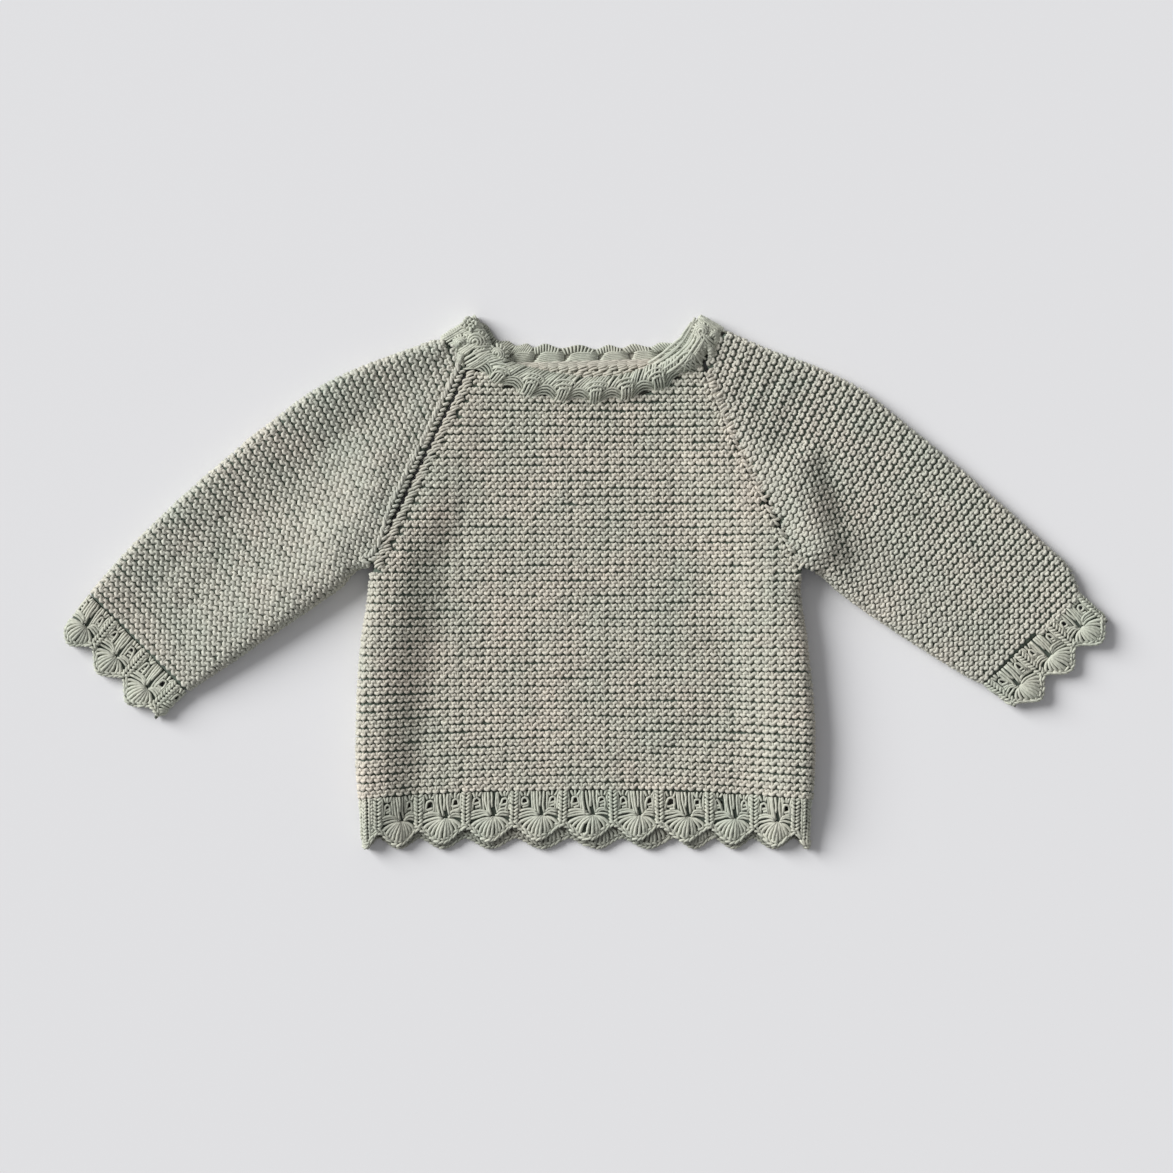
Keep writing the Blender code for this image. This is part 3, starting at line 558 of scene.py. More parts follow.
class Lace:
    """A strip of the lace edging. Its points are a distance along it and a depth below its seam."""

    def __init__(self, row):
        self.__dict__.update(zip(LACE_COLUMNS, row))
        self.start = np.array((self.start_x, self.start_y))
        self.end = np.array((self.end_x, self.end_y))
        self.width = np.linalg.norm(self.end - self.start)
        self.along = (self.end - self.start) / self.width
        self.out = np.array((self.along[1], -self.along[0])) * -self.outward
        self.total = self.width + 2 * (LACE_CURL - self.seam_radius)
        self.turned = self.outward  # which way the normals of its own coordinates point
        self.lifted = self.name == "hem_lace_front"  # it follows the front's raised sides

    def fan(self, distance):
        """Index of the fan, and the share of the way across it."""
        notches = np.array(self.notches)
        i = np.clip(np.searchsorted(notches, distance, "right") - 1, 0, len(notches) - 2)
        return i, (distance - notches[i]) / (notches[i + 1] - notches[i])

    def edge(self, distance):
        i, share = self.fan(distance)
        depth = lerp(self.notch, FAN_TIP, np.abs(np.sin(math.pi * share)) ** FAN_ROUNDNESS)
        last = i == len(self.notches) - 2
        return depth * lerp(1.0, self.end_depth, smooth(share / LAST_FAN_BLEND) * last)

    def face(self, distance, depth):
        """A point of the visible face: the top of an upper strip and the inside of a lower one."""
        distance, depth = grids(distance, depth)
        down = depth / FAN_TIP
        radius = lerp(self.seam_radius, self.tip_radius, down)
        centre = lerp(self.seam_centre, self.tip_radius, down)
        curl = radius if self.upper else radius - LACE
        from_side = np.minimum(distance, self.total - distance)
        angle = np.clip(from_side / LACE_CURL, CURL_PAST, 1.0) * math.pi / 2
        inset = radius - curl * np.cos(angle) + np.maximum(0.0, from_side - LACE_CURL)
        offset = np.where(distance < self.total / 2, inset, self.width - inset)
        tapered = lerp(self.start_taper, self.width - self.end_taper, offset / self.width)
        offset = lerp(offset, tapered, down)
        rise = curl * np.sin(angle)
        if self.upper:
            lying = lerp(LAID - (CLOTH - LACE) / 2, 2 * LACE + LAYER_GAP, down)
            top = lerp(centre + radius, lying, smooth((from_side - LACE_CURL) / SIDE_LACE_REACH))
            share = self.fan(distance)[1]
            dome = np.interp(share, FAN_LINES, FAN_DOMES) * np.clip(depth / EYELET_TOP, 0, 1)
            top = top + dome * smooth(from_side / LACE_CURL)
            curled = rise
            if self.lifted:
                lift = swell("left", self.start_y, offset)
                lift = lift + swell("right", self.end_y, self.width - offset)
                curl_top = centre + radius - LAID + (CLOTH - LACE) / 2
                lift = lift - curl_top * (1 - smooth((from_side - LACE_CURL) / SIDE_LACE_REACH))
                lift = np.maximum(lift, 0.0) * smooth(from_side / LACE_CURL)
                top = top + lift * (1 - smooth(down / HEM_LIFT_DEPTH))
                curled = rise + (top - centre - radius) * np.clip(from_side / LACE_CURL, 0, 1)
            rise = np.where(from_side > LACE_CURL, top - centre, curled)
        z = centre + (1 if self.upper else -1) * rise
        across = 2 * offset / self.width - 1
        reach = SEAM_GAP + depth - self.bow * (1 - across * across)
        over = self.start + self.along * offset[..., None] + self.out * reach[..., None]
        return np.concatenate([over, z[..., None]], -1)


class Band:
    """The neck edging in front or behind. Its points are a place round the neck and a share across."""

    def __init__(self, open_side, neckline, front):
        self.open_side = np.array(open_side)
        self.neckline = neckline
        self.front = front
        self.places = np.linspace(-2, 2, 801)
        steps = np.linalg.norm(np.diff(self.flat(self.places, MEASURED_AT), axis=0), axis=1)
        self.lengths = np.concatenate([[0], np.cumsum(steps)])
        self.whole = float(self.lengths[-1])

    def place(self, length):
        """The place round the neck at a length in millimetres from its left end."""
        return np.interp(length, self.lengths, self.places)

    def length(self, place):
        return np.interp(place, self.places, self.lengths)

    def feet(self):
        """Lengths at the gathered feet, with one past the raglan seam at each shoulder."""
        places = [FIRST_FOOT + k * FOOT_PITCH for k in range(FEET)]
        left = -1 - ((-1 - FIRST_FOOT) / FOOT_PITCH + 1) * SHOULDER_PITCH
        right = 1 + (FEET - (1 - FIRST_FOOT) / FOOT_PITCH) * SHOULDER_PITCH
        return [float(self.length(place)) for place in (left, *places, right)]

    def cloth_side(self, place):
        sign = np.where(place < 0, -1, 1)
        ends = []
        for side in ("left", "right"):
            line, first = RAGLANS[side], SLEEVES[side][0]
            share = np.clip(np.abs(place) - 1, 0, 1)
            ends.append((lerp(line["top_x"], first[3], share), lerp(line["top_y"], first[4], share)))
        on_shoulder = np.abs(place) > 1
        left, right = RAGLANS["left"]["top_x"], RAGLANS["right"]["top_x"]
        x_neck = lerp(left, right, (np.clip(place, -1, 1) + 1) / 2)
        x = np.where(on_shoulder, np.where(place < 0, ends[0][0], ends[1][0]), x_neck)
        y = np.where(on_shoulder, np.where(place < 0, ends[0][1], ends[1][1]), self.neckline(x_neck))
        beside = smooth((np.abs(place) - 1 + CORNER_BLEND) / CORNER_BLEND)
        return np.stack([x - sign * BAND_GAP * beside, y + BAND_GAP * ~on_shoulder], -1)

    def between(self, place):
        """0 at a gathered foot and 1 halfway between two."""
        on_neckline = np.clip(place, -1, 1)
        feet = (on_neckline - FIRST_FOOT) / FOOT_PITCH + (place - on_neckline) / SHOULDER_PITCH
        return 0.5 - 0.5 * np.cos(2 * math.pi * feet)

    def flat(self, place, share):
        place, share = grids(place, share)
        cloth = self.cloth_side(place)
        opening = curve(self.open_side[:, 0], self.open_side[:, 1:], place)
        inward = unit(opening - cloth)
        between = self.between(place)[..., None]
        if self.front:
            cloth = cloth + inward * FOOT_LIFT * between
        else:
            opening = opening - inward * BACK_SCALLOP * (1 - between)
        return lerp(cloth, opening, share[..., None])

    def face(self, place, share):
        place, share = grids(place, share)
        if self.front:
            profile = np.array(BAND_PROFILE)
            folded = smooth((np.abs(place) - FOLD_FROM) / (2 - FOLD_FROM))
            crest = np.sin(math.pi * np.clip(share, 0, 1))
            z = curve(profile[:, 0], profile[:, 1], share)
            z = z + (FOOT_RISE * (1 - self.between(place)) - FOLD_DROP * folded) * crest
            over = np.clip((share - 1) / LIP_SHARE, 0, 1)
            z = z - LIP_DROP * over
            share = np.where(share > 1, 1 + LIP_BULGE * np.sin(LIP_TURN * over), share)
        else:
            z = np.full(place.shape, BACK_BAND_THICKNESS)
        return np.concatenate([self.flat(place, share), z[..., None]], -1)

    def by_length(self, length, share):
        return self.face(self.place(length), share)


def raised(face, u, v, height, turned=1, step_v=STEP):
    """Points above a face, and the face's normals there. turned is -1 where u x v points inwards."""
    du = face(u + STEP, v) - face(u - STEP, v)
    dv = face(u, v + step_v) - face(u, v - step_v)
    normal = unit(np.cross(du, dv)) * turned
    return face(u, v) + normal * np.asarray(height)[..., None], normal


# ---------------------------------------------------------------- meshes


def new_mesh(name, points, faces, attributes=()):
    """A mesh from an array of points and several arrays of faces, each with its own corner count."""
    mesh = bpy.data.meshes.new(name)
    mesh.vertices.add(len(points))
    mesh.vertices.foreach_set("co", (points * MM).astype(np.float32).ravel())
    corners = np.concatenate([f.ravel() for f in faces]).astype(np.int32)
    counts = np.concatenate([np.full(len(f), f.shape[1]) for f in faces])
    mesh.loops.add(len(corners))
    mesh.loops.foreach_set("vertex_index", corners)
    mesh.polygons.add(len(counts))
    mesh.polygons.foreach_set("loop_start", (np.cumsum(counts) - counts).astype(np.int32))
    mesh.update(calc_edges=True)
    mesh.validate()
    mesh.shade_smooth()
    for label, kind, values in attributes:
        layer = mesh.attributes.new(label, kind, "POINT")
        field = "value" if kind == "FLOAT" else "vector"
        layer.data.foreach_set(field, np.asarray(values, np.float32).ravel())
    piece = bpy.data.objects.new(name, mesh)
    bpy.context.scene.collection.objects.link(piece)
    return piece


class Yarn:
    """Lengths of yarn, gathered and then joined into one mesh."""

    CORNERS = 5  # of the yarn's section

    def __init__(self):
        self.points, self.quads, self.caps, self.tones, self.twists = [], [], [], [], []
        self.count = 0

    def add(self, path, normal, radius, tone):
        """path and normal are (lengths, points, 3), radius fits them, and tone is one number a length."""
        lengths, places = path.shape[:2]
        corners = self.CORNERS
        tangent = unit(np.gradient(path, axis=1))
        binormal = unit(np.cross(tangent, normal))
        upward = np.cross(binormal, tangent)
        turn = 2 * math.pi * np.arange(corners) / corners + math.pi / corners
        radius = np.broadcast_to(radius, (lengths, places))[..., None, None]
        ring = np.cos(turn)[:, None] * binormal[:, :, None] + np.sin(turn)[:, None] * upward[:, :, None]
        points = (path[:, :, None] + radius * ring).reshape(-1, 3)
        points[:, 2] = np.maximum(points[:, 2], TABLE)
        self.points.append(points)
        index = np.arange(lengths * places * corners).reshape(lengths, places, corners) + self.count
        following = np.roll(index, -1, axis=2)
        quads = np.stack([index[:, :-1], index[:, 1:], following[:, 1:], following[:, :-1]], -1)
        self.quads.append(quads.reshape(-1, 4))
        self.caps.append(np.concatenate([index[:, 0], index[:, -1, ::-1]]))
        self.count += index.size
        self.tones.append(np.broadcast_to(tone[:, None, None], (lengths, places, corners)).ravel())
        steps = np.linalg.norm(np.diff(path, axis=1), axis=2)
        run = np.concatenate([np.zeros((lengths, 1)), np.cumsum(steps, 1)], 1)
        run = run + rng.uniform(0, 10, (lengths, 1))
        twist = np.stack(np.broadcast_arrays(np.cos(turn), np.sin(turn), run[..., None]), -1)
        self.twists.append(twist.reshape(-1, 3))

    def build(self, name):
        faces = [np.concatenate(self.quads), np.concatenate(self.caps)]
        attributes = (
            ("tone", "FLOAT", np.concatenate(self.tones)),
            ("twist", "FLOAT_VECTOR", np.concatenate(self.twists)),
        )
        return new_mesh(name, np.concatenate(self.points), faces, attributes)


def thin_wall(name, outer, inner, keep=None):
    """A closed wall between two grids of points, without the cells that keep leaves out."""
    rows, columns = outer.shape[:2]
    if keep is None:
        keep = np.ones((rows - 1, columns - 1), bool)
    index = np.arange(rows * columns).reshape(rows, columns)
    below = index + rows * columns
    i, j = np.nonzero(keep)

    def cells(grid, *corners):
        return np.stack([grid[i + di, j + dj] for di, dj in corners], -1)

    faces = [cells(index, (0, 0), (0, 1), (1, 1), (1, 0)), cells(below, (0, 0), (1, 0), (1, 1), (0, 1))]
    padded = np.pad(keep, 1)
    for di, dj, first, second in (
        (-1, 0, (0, 0), (0, 1)), (1, 0, (1, 1), (1, 0)), (0, -1, (1, 0), (0, 0)), (0, 1, (0, 1), (1, 1)),
    ):
        rim = ~padded[i + 1 + di, j + 1 + dj]
        a, b = cells(index, first, second)[rim].T
        faces.append(np.stack([b, a, a + rows * columns, b + rows * columns], -1))
    points = np.concatenate([outer.reshape(-1, 3), inner.reshape(-1, 3)])
    points[:, 2] = np.maximum(points[:, 2], TABLE)
    used, places = np.unique(np.concatenate([f.ravel() for f in faces]), return_inverse=True)
    cuts = np.cumsum([f.size for f in faces])[:-1]
    faces = [part.reshape(-1, 4) for part in np.split(places, cuts)]
    return new_mesh(name, points[used], faces)


# ---------------------------------------------------------------- materials


def fill(tree, node, inputs):
    """Sets a node's inputs to numbers and colours, or links them to sockets."""
    for key, value in dict(inputs).items():
        if isinstance(value, (int, float, tuple)):
            node.inputs[key].default_value = value
        else:
            tree.links.new(value, node.inputs[key])


def add_node(tree, kind, inputs=(), **settings):
    node = tree.nodes.new("ShaderNode" + kind)
    for name, value in settings.items():
        setattr(node, name, value)
    fill(tree, node, inputs)
    return node


def math_node(tree, operation, *values):
    return add_node(tree, "Math", enumerate(values), operation=operation).outputs[0]


def noise_node(tree, coordinates, looks):
    """Noise with a size in millimetres, a detail and a roughness."""
    size, detail, roughness = looks
    inputs = {"Vector": coordinates, "Scale": 1000 / size, "Detail": detail, "Roughness": roughness}
    return add_node(tree, "TexNoise", inputs).outputs["Fac"]


def mix_node(tree, share, first, second, mode="MIX"):
    first, second = ((*c, 1) if isinstance(c, tuple) else c for c in (first, second))
    inputs = {0: share, 6: first, 7: second}
    return add_node(tree, "Mix", inputs, data_type="RGBA", blend_type=mode).outputs[2]


def map_range(tree, value, source, target):
    """Maps a value from one range, as its low and high end, to another."""
    ends = zip(("From Min", "From Max", "To Min", "To Max"), (*source, *target))
    return add_node(tree, "MapRange", {"Value": value, **dict(ends)}).outputs["Result"]


def new_material(name, looks):
    material = bpy.data.materials.new(name)
    material.use_nodes = True
    fill(material.node_tree, material.node_tree.nodes["Principled BSDF"], looks)
    return material


WARM = (0.602, 0.553, 0.476)  # the yarn's two colours, which run into each other along it
SAGE = (0.512, 0.518, 0.442)
GAP_SHADE_COLOUR = (0.25, 0.31, 0.25)  # painted shade: the dark given to the walls that show in the gaps between stitches and strands
LACE_WARM = (0.588, 0.578, 0.49)
LACE_SAGE = (0.51, 0.546, 0.461)
COTTON_LOOKS = {
    "Roughness": 0.88,
    "Specular IOR Level": 0.25,
    "Sheen Weight": 0.18,
    "Sheen Roughness": 0.45,
    "Sheen Tint": (0.86, 0.95, 0.88, 1),
}
NOISE_RANGE = (0.3, 0.7)  # where most of a noise's values lie
# Size in millimetres, detail and roughness of the noises that mix the yarn's colours and mark its fibres
BLOTCHES = (34.0, 3.0, 0.6)
HEATHER = (2.6, 3.0, 0.7)
FIBRES = (0.35, 2.0, 0.6)
PLIES = 2.0  # of the yarn
TWIST_LAY = 3.2  # length in which they turn once
BUMP = {"Strength": 0.5, "Distance": 0.00012}
# Heights in metres between which a wall turns from the yarn's own colours to the painted shade of the gaps
PALE_BELOW = (0.0015, 0.0045)


def cotton(name, warm=WARM, sage=SAGE, twisted=True, shade=1.0, pale=None):
    """Matte cotton yarn: blotches of two colours, heathered fibres, and twisted plies. With pale, it has
    the yarn's own colours at this shade near the table, where rims and the underside show, and the given
    colours higher up, which for the walls are the painted shade of the gaps."""
    material = new_material(name, COTTON_LOOKS)
    tree = material.node_tree
    place = add_node(tree, "TexCoord").outputs["Object"]
    blotches = map_range(tree, noise_node(tree, place, BLOTCHES), NOISE_RANGE, (0.0, 1.0))
    heather = map_range(tree, noise_node(tree, place, HEATHER), NOISE_RANGE, (0.86, 1.12))
    fibres = noise_node(tree, place, FIBRES)
    colour = mix_node(tree, blotches, warm, sage)
    light = math_node(tree, "MULTIPLY", heather, map_range(tree, fibres, NOISE_RANGE, (0.93, 1.06)))
    if pale:
        own = (tuple(c * pale / shade for c in yarn_colour) for yarn_colour in (WARM, SAGE))
        level = add_node(tree, "SeparateXYZ", {0: place}).outputs[2]
        dark = map_range(tree, level, PALE_BELOW, (0.0, 1.0))
        colour = mix_node(tree, dark, mix_node(tree, blotches, *own), colour)
    light = math_node(tree, "MULTIPLY", light, shade)
    height = fibres
    if twisted:
        tone = add_node(tree, "Attribute", attribute_name="tone").outputs["Fac"]
        light = math_node(tree, "MULTIPLY", light, tone)
        twist = add_node(tree, "Attribute", attribute_name="twist").outputs["Vector"]
        across, up, run = add_node(tree, "SeparateXYZ", {0: twist}).outputs
        angle = math_node(tree, "ARCTAN2", up, across)
        run = math_node(tree, "MULTIPLY", run, 2 * math.pi / TWIST_LAY)
        turns = math_node(tree, "ADD", math_node(tree, "MULTIPLY", angle, PLIES), run)
        plies = math_node(tree, "SINE", turns)
        # The colour darkens where the plies' sine is low, in the grooves between the plies: painted shade,
        # alongside the bump that the same sine gives
        ply_groove_shade = map_range(tree, math_node(tree, "MULTIPLY_ADD", plies, 0.2), NOISE_RANGE, (0.93, 1.05))
        light = math_node(tree, "MULTIPLY", light, ply_groove_shade)
        height = math_node(tree, "ADD", math_node(tree, "MULTIPLY", plies, 0.5), fibres)
    grey = add_node(tree, "CombineColor", {channel: light for channel in range(3)}).outputs[0]
    bump = add_node(tree, "Bump", {**BUMP, "Height": height}).outputs["Normal"]
    base = mix_node(tree, 1.0, colour, grey, "MULTIPLY")
    fill(tree, tree.nodes["Principled BSDF"], {"Base Color": base, "Normal": bump})
    return material


YARN_COTTON = cotton("knitted_cotton")
SLEEVE_COTTON = cotton("sleeve_cotton", (0.584, 0.554, 0.482), (0.499, 0.519, 0.449))
LACE_COTTON = cotton("lace_cotton", LACE_WARM, LACE_SAGE, shade=0.97)
# The back hem lace's strands: a darker copy of the lace colour, a painted shadow from the front lace that
# lies over it
SHADED_LACE_COTTON = cotton("lace_cotton_painted_shadow", LACE_WARM, LACE_SAGE, shade=0.62)
# Walls under the lace and under the stitches: dark above the table, a painted shade that shows in the gaps
# between strands and stitches; near the table they take the yarn's colours darkened to 0.6 and 0.7, a
# milder painted shade
LACE_GAP_SHADE_COTTON = cotton("cotton_painted_shade_under_the_lace", GAP_SHADE_COLOUR, GAP_SHADE_COLOUR, twisted=False, shade=0.3, pale=0.6)
STITCH_GAP_SHADE_COTTON = cotton("cotton_painted_shade_under_the_stitches", GAP_SHADE_COLOUR, GAP_SHADE_COLOUR, twisted=False, shade=0.42, pale=0.7)
# The back's cloth: the yarn's own colours darkened to 0.7, a painted shade where it shows between the
# back's stitches and at its edges under the front
PAINTED_SHADE_BACK_COTTON = cotton("cotton_of_the_back_painted_shade", twisted=False, shade=0.7)


# ---------------------------------------------------------------- garter stitch


def garter(yarn, face, x, y, angle, height):
    """Garter stitches centred over x, y, whose ridges run at this angle and lie this far apart."""
    count = len(x)
    height = np.broadcast_to(height, (count,))
    radius = YARN * tension(x, y)[:, None]
    turn = angle[:, None]

    def loose(part, middle=0.0):
        return rng.normal(middle, LOOSENESS[part], (count, 1))

    for template, shift, thick in STITCH_PARTS:
        along, across, lift = np.array(template).T
        size = loose("size", 1.0)
        tilt = loose("tilt", MEAN_TILT)
        a = (along * size + shift) * STITCH + loose("along")
        b = (across * size + tilt * along) * height[:, None] + loose("across")
        up = lift + loose("up")
        u = x[:, None] + a * np.cos(turn) - b * np.sin(turn)
        v = y[:, None] + a * np.sin(turn) + b * np.cos(turn)
        path, normal = raised(face, u, v, up)
        tone = 1 + loose("tone")[:, 0]
        yarn.add(path, normal, radius * thick * loose("radius", 1.0), tone)


def ridge_pitch(level):
    return lerp(RIDGE_LOW, RIDGE_HIGH, (level - HEM_Y) / (NECK_Y - HEM_Y))


def body_ridges():
    """The level of each ridge in the middle of the front, from the hem up."""
    levels = [hem_y(0.0) + RIDGE_LOW * 0.5]
    while levels[-1] < RAGLANS["right"]["top_y"]:
        levels.append(levels[-1] + ridge_pitch(levels[-1]) * rng.normal(1, RIDGE_LOOSENESS))
    return levels


RIDGES = body_ridges()


def front_stitches():
    """Places of the front's stitches: x, y, and the height of their ridge."""
    rows = []
    wales = np.arange(-WALES, WALES + 1) * STITCH + rng.normal(0, 0.18, 2 * WALES + 1)
    for level in RIDGES:
        x = wales + rng.normal(0, 0.08, len(wales))
        x = x + SWAY[0] * math.sin(level / SWAY[1])
        bow = (hem_y(x) - hem_y(0.0)) * (1 - smooth((level - HEM_Y) / BOW_FADE))
        y = level + bow
        for height, across, up in RIDGE_WAVES:
            y = y + height * np.sin(x / across + level / up)
        keep = (y > hem_y(x) + 1.0) & (y < neckline_y(x) + 1.5)
        for side, sign in SIDE_SIGN.items():
            inside = sign * (edge_x(side, y) - x)
            rolled_in = edge_roll(side, y) * (1 - edge_turn(side, y))
            keep &= inside > np.where(y > RAGLANS[side]["armpit_y"] - 2, SEAM_STRIP[side], rolled_in)
        rows.append((x[keep], y[keep], np.full(keep.sum(), ridge_pitch(level))))
    return [np.concatenate(part) for part in zip(*rows)]


HALF_RIDGE = 26  # stitches on each side of a sleeve's guide
ARMPIT_RIDGE = 24.3  # up to here a sleeve's ridges end at the raglan
# The sleeves' ridges: from the shoulder to the cuff, how far the way across them dips below the
# horizontal, in degrees, and the distance from ridge to ridge
RIDGE_COLUMNS = ("share", "dip", "pitch")
SLEEVE_LAY = (
    (0.0, 21.0, 4.7),
    (0.25, 27.0, 4.5),
    (0.5, 33.5, 4.35),
    (0.75, 40.0, 4.3),
    (1.0, 45.3, 4.25),
)
# A line down the middle of each sleeve, from the shoulder to the cuff
GUIDES = {
    "left": ((-75.0, 132.0), (-258.0, -35.0)),
    "right": ((74.0, 135.0), (256.6, -32.6)),
}


def sleeve_stitches(sleeve):
    """Places of a sleeve's stitches: x, y, angle, and the height of their ridge."""
    start, end = (np.array(point) for point in GUIDES[sleeve.side])
    length = np.linalg.norm(end - start)
    along = (end - start) / length
    sign = sleeve.sign
    run, phase, rows = -9.0, 0.0, []
    while run < length + 8.0:
        share = min(max(run / length, 0.0), 1.0)
        dip, pitch = tabled(SLEEVE_LAY, RIDGE_COLUMNS, "share", ("dip", "pitch"), np.array(share))
        dip = math.radians(dip)
        ridge = np.array((sign * math.sin(dip), math.cos(dip)))
        outward = np.array((sign * math.cos(dip), -math.sin(dip)))
        steps = np.arange(-HALF_RIDGE, HALF_RIDGE + 1) * STITCH - phase % STITCH
        steps = steps + rng.normal(0, 0.12, len(steps))
        point = start + along * run
        x = point[0] + ridge[0] * steps
        y = point[1] + ridge[1] * steps
        place, distance = sleeve.locate(x, y)
        part = sleeve.section(place)
        keep = (place > -0.15) & (place < SLEEVE_RIDGES + 0.1)
        rolled_in = part["under_radius"] * (1 - part["under_turn"])
        keep &= distance > np.where(place < ARMPIT_RIDGE, SLEEVE_STRIP[sleeve.side], rolled_in)
        keep &= distance < part["width"] - part["fold_radius"] * (1 - SIDE_TURN)
        turn = np.full(keep.sum(), math.atan2(sign * ridge[1], sign * ridge[0]))
        rows.append((x[keep], y[keep], turn, np.full(keep.sum(), pitch)))
        step = pitch / float(along @ outward) * rng.normal(1, RIDGE_LOOSENESS)
        phase += step * float(along @ ridge)
        run += step
    return [np.concatenate(part) for part in zip(*rows)]


# ---------------------------------------------------------------- strands and chains

STRAND_POINTS = 7


def lay(yarn, face, paths, radius, turned=1, step_v=STEP, points=STRAND_POINTS):
    """Lays strands over a face. Each path is a list of (u, v, height) that the yarn runs through."""
    smooth_paths = []
    for path in paths:
        path = np.array(path, float)
        smooth_paths.append(curve(np.arange(len(path)), path, np.linspace(0, len(path) - 1, points)))
    if not smooth_paths:
        return
    u, v, height = np.moveaxis(np.array(smooth_paths), -1, 0)
    path, normal = raised(face, u, v, height, turned=turned, step_v=step_v)
    size = radius * rng.normal(1, 0.05, (len(path), 1))
    yarn.add(path, normal, size, 1 + rng.normal(0, 0.04, len(path)))


def chained(at, length, step, half_width, lean, height=0.15, loose=0.06, meet=0.12):
    """Two rows of slanted legs along a line, like a column of knitting. at(run, side) gives (u, v)."""
    legs = []
    for k in range(int(length / step)):
        run = (k + 0.5) * step + rng.normal(0, loose * step)
        for side in (-1, 1):
            first = at(run, side * half_width)
            middle = at(run + 0.5 * lean, side * half_width * 0.6)
            last = at(run + lean, side * half_width * meet)
            up = height + rng.normal(0, 2 * loose)
            legs.append([(*first, up - 0.5), (*middle, up + 0.1), (*last, up - 0.3)])
    return legs


# Strands of one fan, across from its middle and down from the seam
FAN_WIDTH = 27.8
LOOP_TOP = 3.4
EYELET_LOOP = ((-2.1, 10.4), (-1.9, 6.6), (-1.4, 4.3), (0.0, 3.4), (1.4, 4.3), (1.9, 6.6), (2.1, 10.4))
EYELET_SILL = ((-2.3, 6.7), (-0.9, 7.7), (2.3, 6.9))
EYELET_HEAD = (((-2.7, -2.0), (-2.3, 0.6), (-1.2, 2.6)), ((0.1, -2.0), (0.0, 0.4), (0.1, 2.6)),
               ((2.7, -2.0), (2.3, 0.6), (1.2, 2.6)))
UPRIGHTS = (
    ((-11.0, -2.0), (-10.8, 5.0), (-10.6, 10.5)),
    ((-4.5, -2.0), (-4.1, 5.0), (-3.6, 10.8)),
    ((-2.9, -2.0), (-2.5, 5.0), (-1.7, 9.6), (-0.6, 13.2)),
    ((-1.3, -2.0), (-0.9, 5.0), (-0.2, 9.0), (0.7, 13.2)),
    ((0.5, -2.0), (0.9, 3.0), (1.0, 6.0), (0.9, 9.0)),
    ((3.2, -2.0), (3.0, 4.0), (3.2, 8.0), (4.0, 12.4)),
    ((4.7, -2.0), (4.7, 5.0), (4.9, 10.2)),
    ((11.0, -2.0), (10.8, 5.0), (10.7, 10.5)),
)
BUNDLES = (
    ((-10.8, 11.5), (-6.4, 10.6), (-3.2, 10.8), (-1.0, 12.2)),
    ((-11.4, 13.3), (-6.0, 11.9), (-2.6, 12.0), (-0.2, 13.2)),
    ((-11.6, 15.4), (-6.2, 13.9), (-2.6, 13.2), (0.4, 13.9)),
    ((10.8, 10.6), (7.6, 10.1), (5.6, 10.6), (4.4, 12.2)),
    ((11.2, 12.0), (8.0, 11.4), (5.8, 11.9), (4.0, 13.2)),
    ((11.5, 13.9), (7.8, 13.1), (5.2, 13.2), (3.4, 13.9)),
)
APEX = (2.0, 14.0)
APEX_SPREAD = 3.6
RAYS = 10
RAYS_REACH = 12.2  # of the rays' tips on each side
RAY_RADIUS = np.array((0.62, 0.78, 0.9, 1.0, 1.06, 1.08, 1.0))


def fan_strands(lace, first, last):
    """Paths of the strands of a whole fan between two notches, and of its rays."""
    middle, scale = (first + last) / 2, (last - first) / FAN_WIDTH
    paths, rays = [], []

    def add(points, lift):
        loose = rng.normal(0, 0.2, 2) + rng.normal(0, 0.15, (len(points), 2))
        up = rng.normal(lift, 0.15)
        ends = (0, len(points) - 1)
        paths.append([(middle + (x + loose[i, 0]) * scale, depth + loose[i, 1], up - 0.2 * (i in ends))
                      for i, (x, depth) in enumerate(points)])

    for share in EYELET_SHARES:
        offset = (share - 0.5) * FAN_WIDTH + rng.normal(0, 0.3)
        wide, long, lean, drop = rng.normal((0.98, 0.95, 0.0, 0.0), (0.1, 0.1, 0.08, 0.6))
        add([(offset + x * wide + lean * (depth - 6), LOOP_TOP + (depth - LOOP_TOP) * long)
             for x, depth in EYELET_LOOP], 0.15)
        add([(offset + x, depth + drop + 0.35 * lean * x) for x, depth in EYELET_SILL], 0.0)
        add([(offset - 0.4 * lean + x, depth + 1.8 + drop) for x, depth in EYELET_SILL[1:]], 0.1)
        for points in EYELET_HEAD:
            add([(offset + x - 2 * lean, depth) for x, depth in points], 0.1)
    for points in UPRIGHTS:
        add(points, 0.0)
    for points in BUNDLES:
        add(points, 0.2)
    for k in range(RAYS):
        share = (k + 0.5 + rng.normal(0, 0.08)) / RAYS
        x = lerp(-RAYS_REACH, RAYS_REACH, share)
        deep = float(lace.edge(np.array(middle + x * scale))) - 2.4
        bulge = 1.5 * (share - 0.5) * 2
        dome = 1 - (2 * share - 1) ** 2
        rays.append([(middle + u * scale, depth, up + rng.normal(0, 0.08)) for u, depth, up in (
            (APEX[0] + APEX_SPREAD * (share - 0.5), APEX[1] + 1.0 - 0.8 * dome, -0.1),
            (lerp(APEX[0], x, 0.36) + bulge, lerp(APEX[1], deep, 0.25), 0.3 + 0.5 * dome),
            (lerp(APEX[0], x, 0.76) + bulge * 0.8, lerp(APEX[1], deep, 0.63), 0.35 + 0.6 * dome),
            (x, deep, 0.0),
        )])
    return paths, rays


def kept_within(paths, whole, spare, margin, least=-math.inf):
    """The paths held on a strip of this length, without those that lie past its ends or above least."""
    kept = []
    for path in paths:
        runs = [point[0] for point in path]
        if max(runs) > spare and min(runs) < whole - spare and path[-1][1] > least:
            kept.append([(min(max(u, margin), whole - margin), max(v, least), up) for u, v, up in path])
    return kept


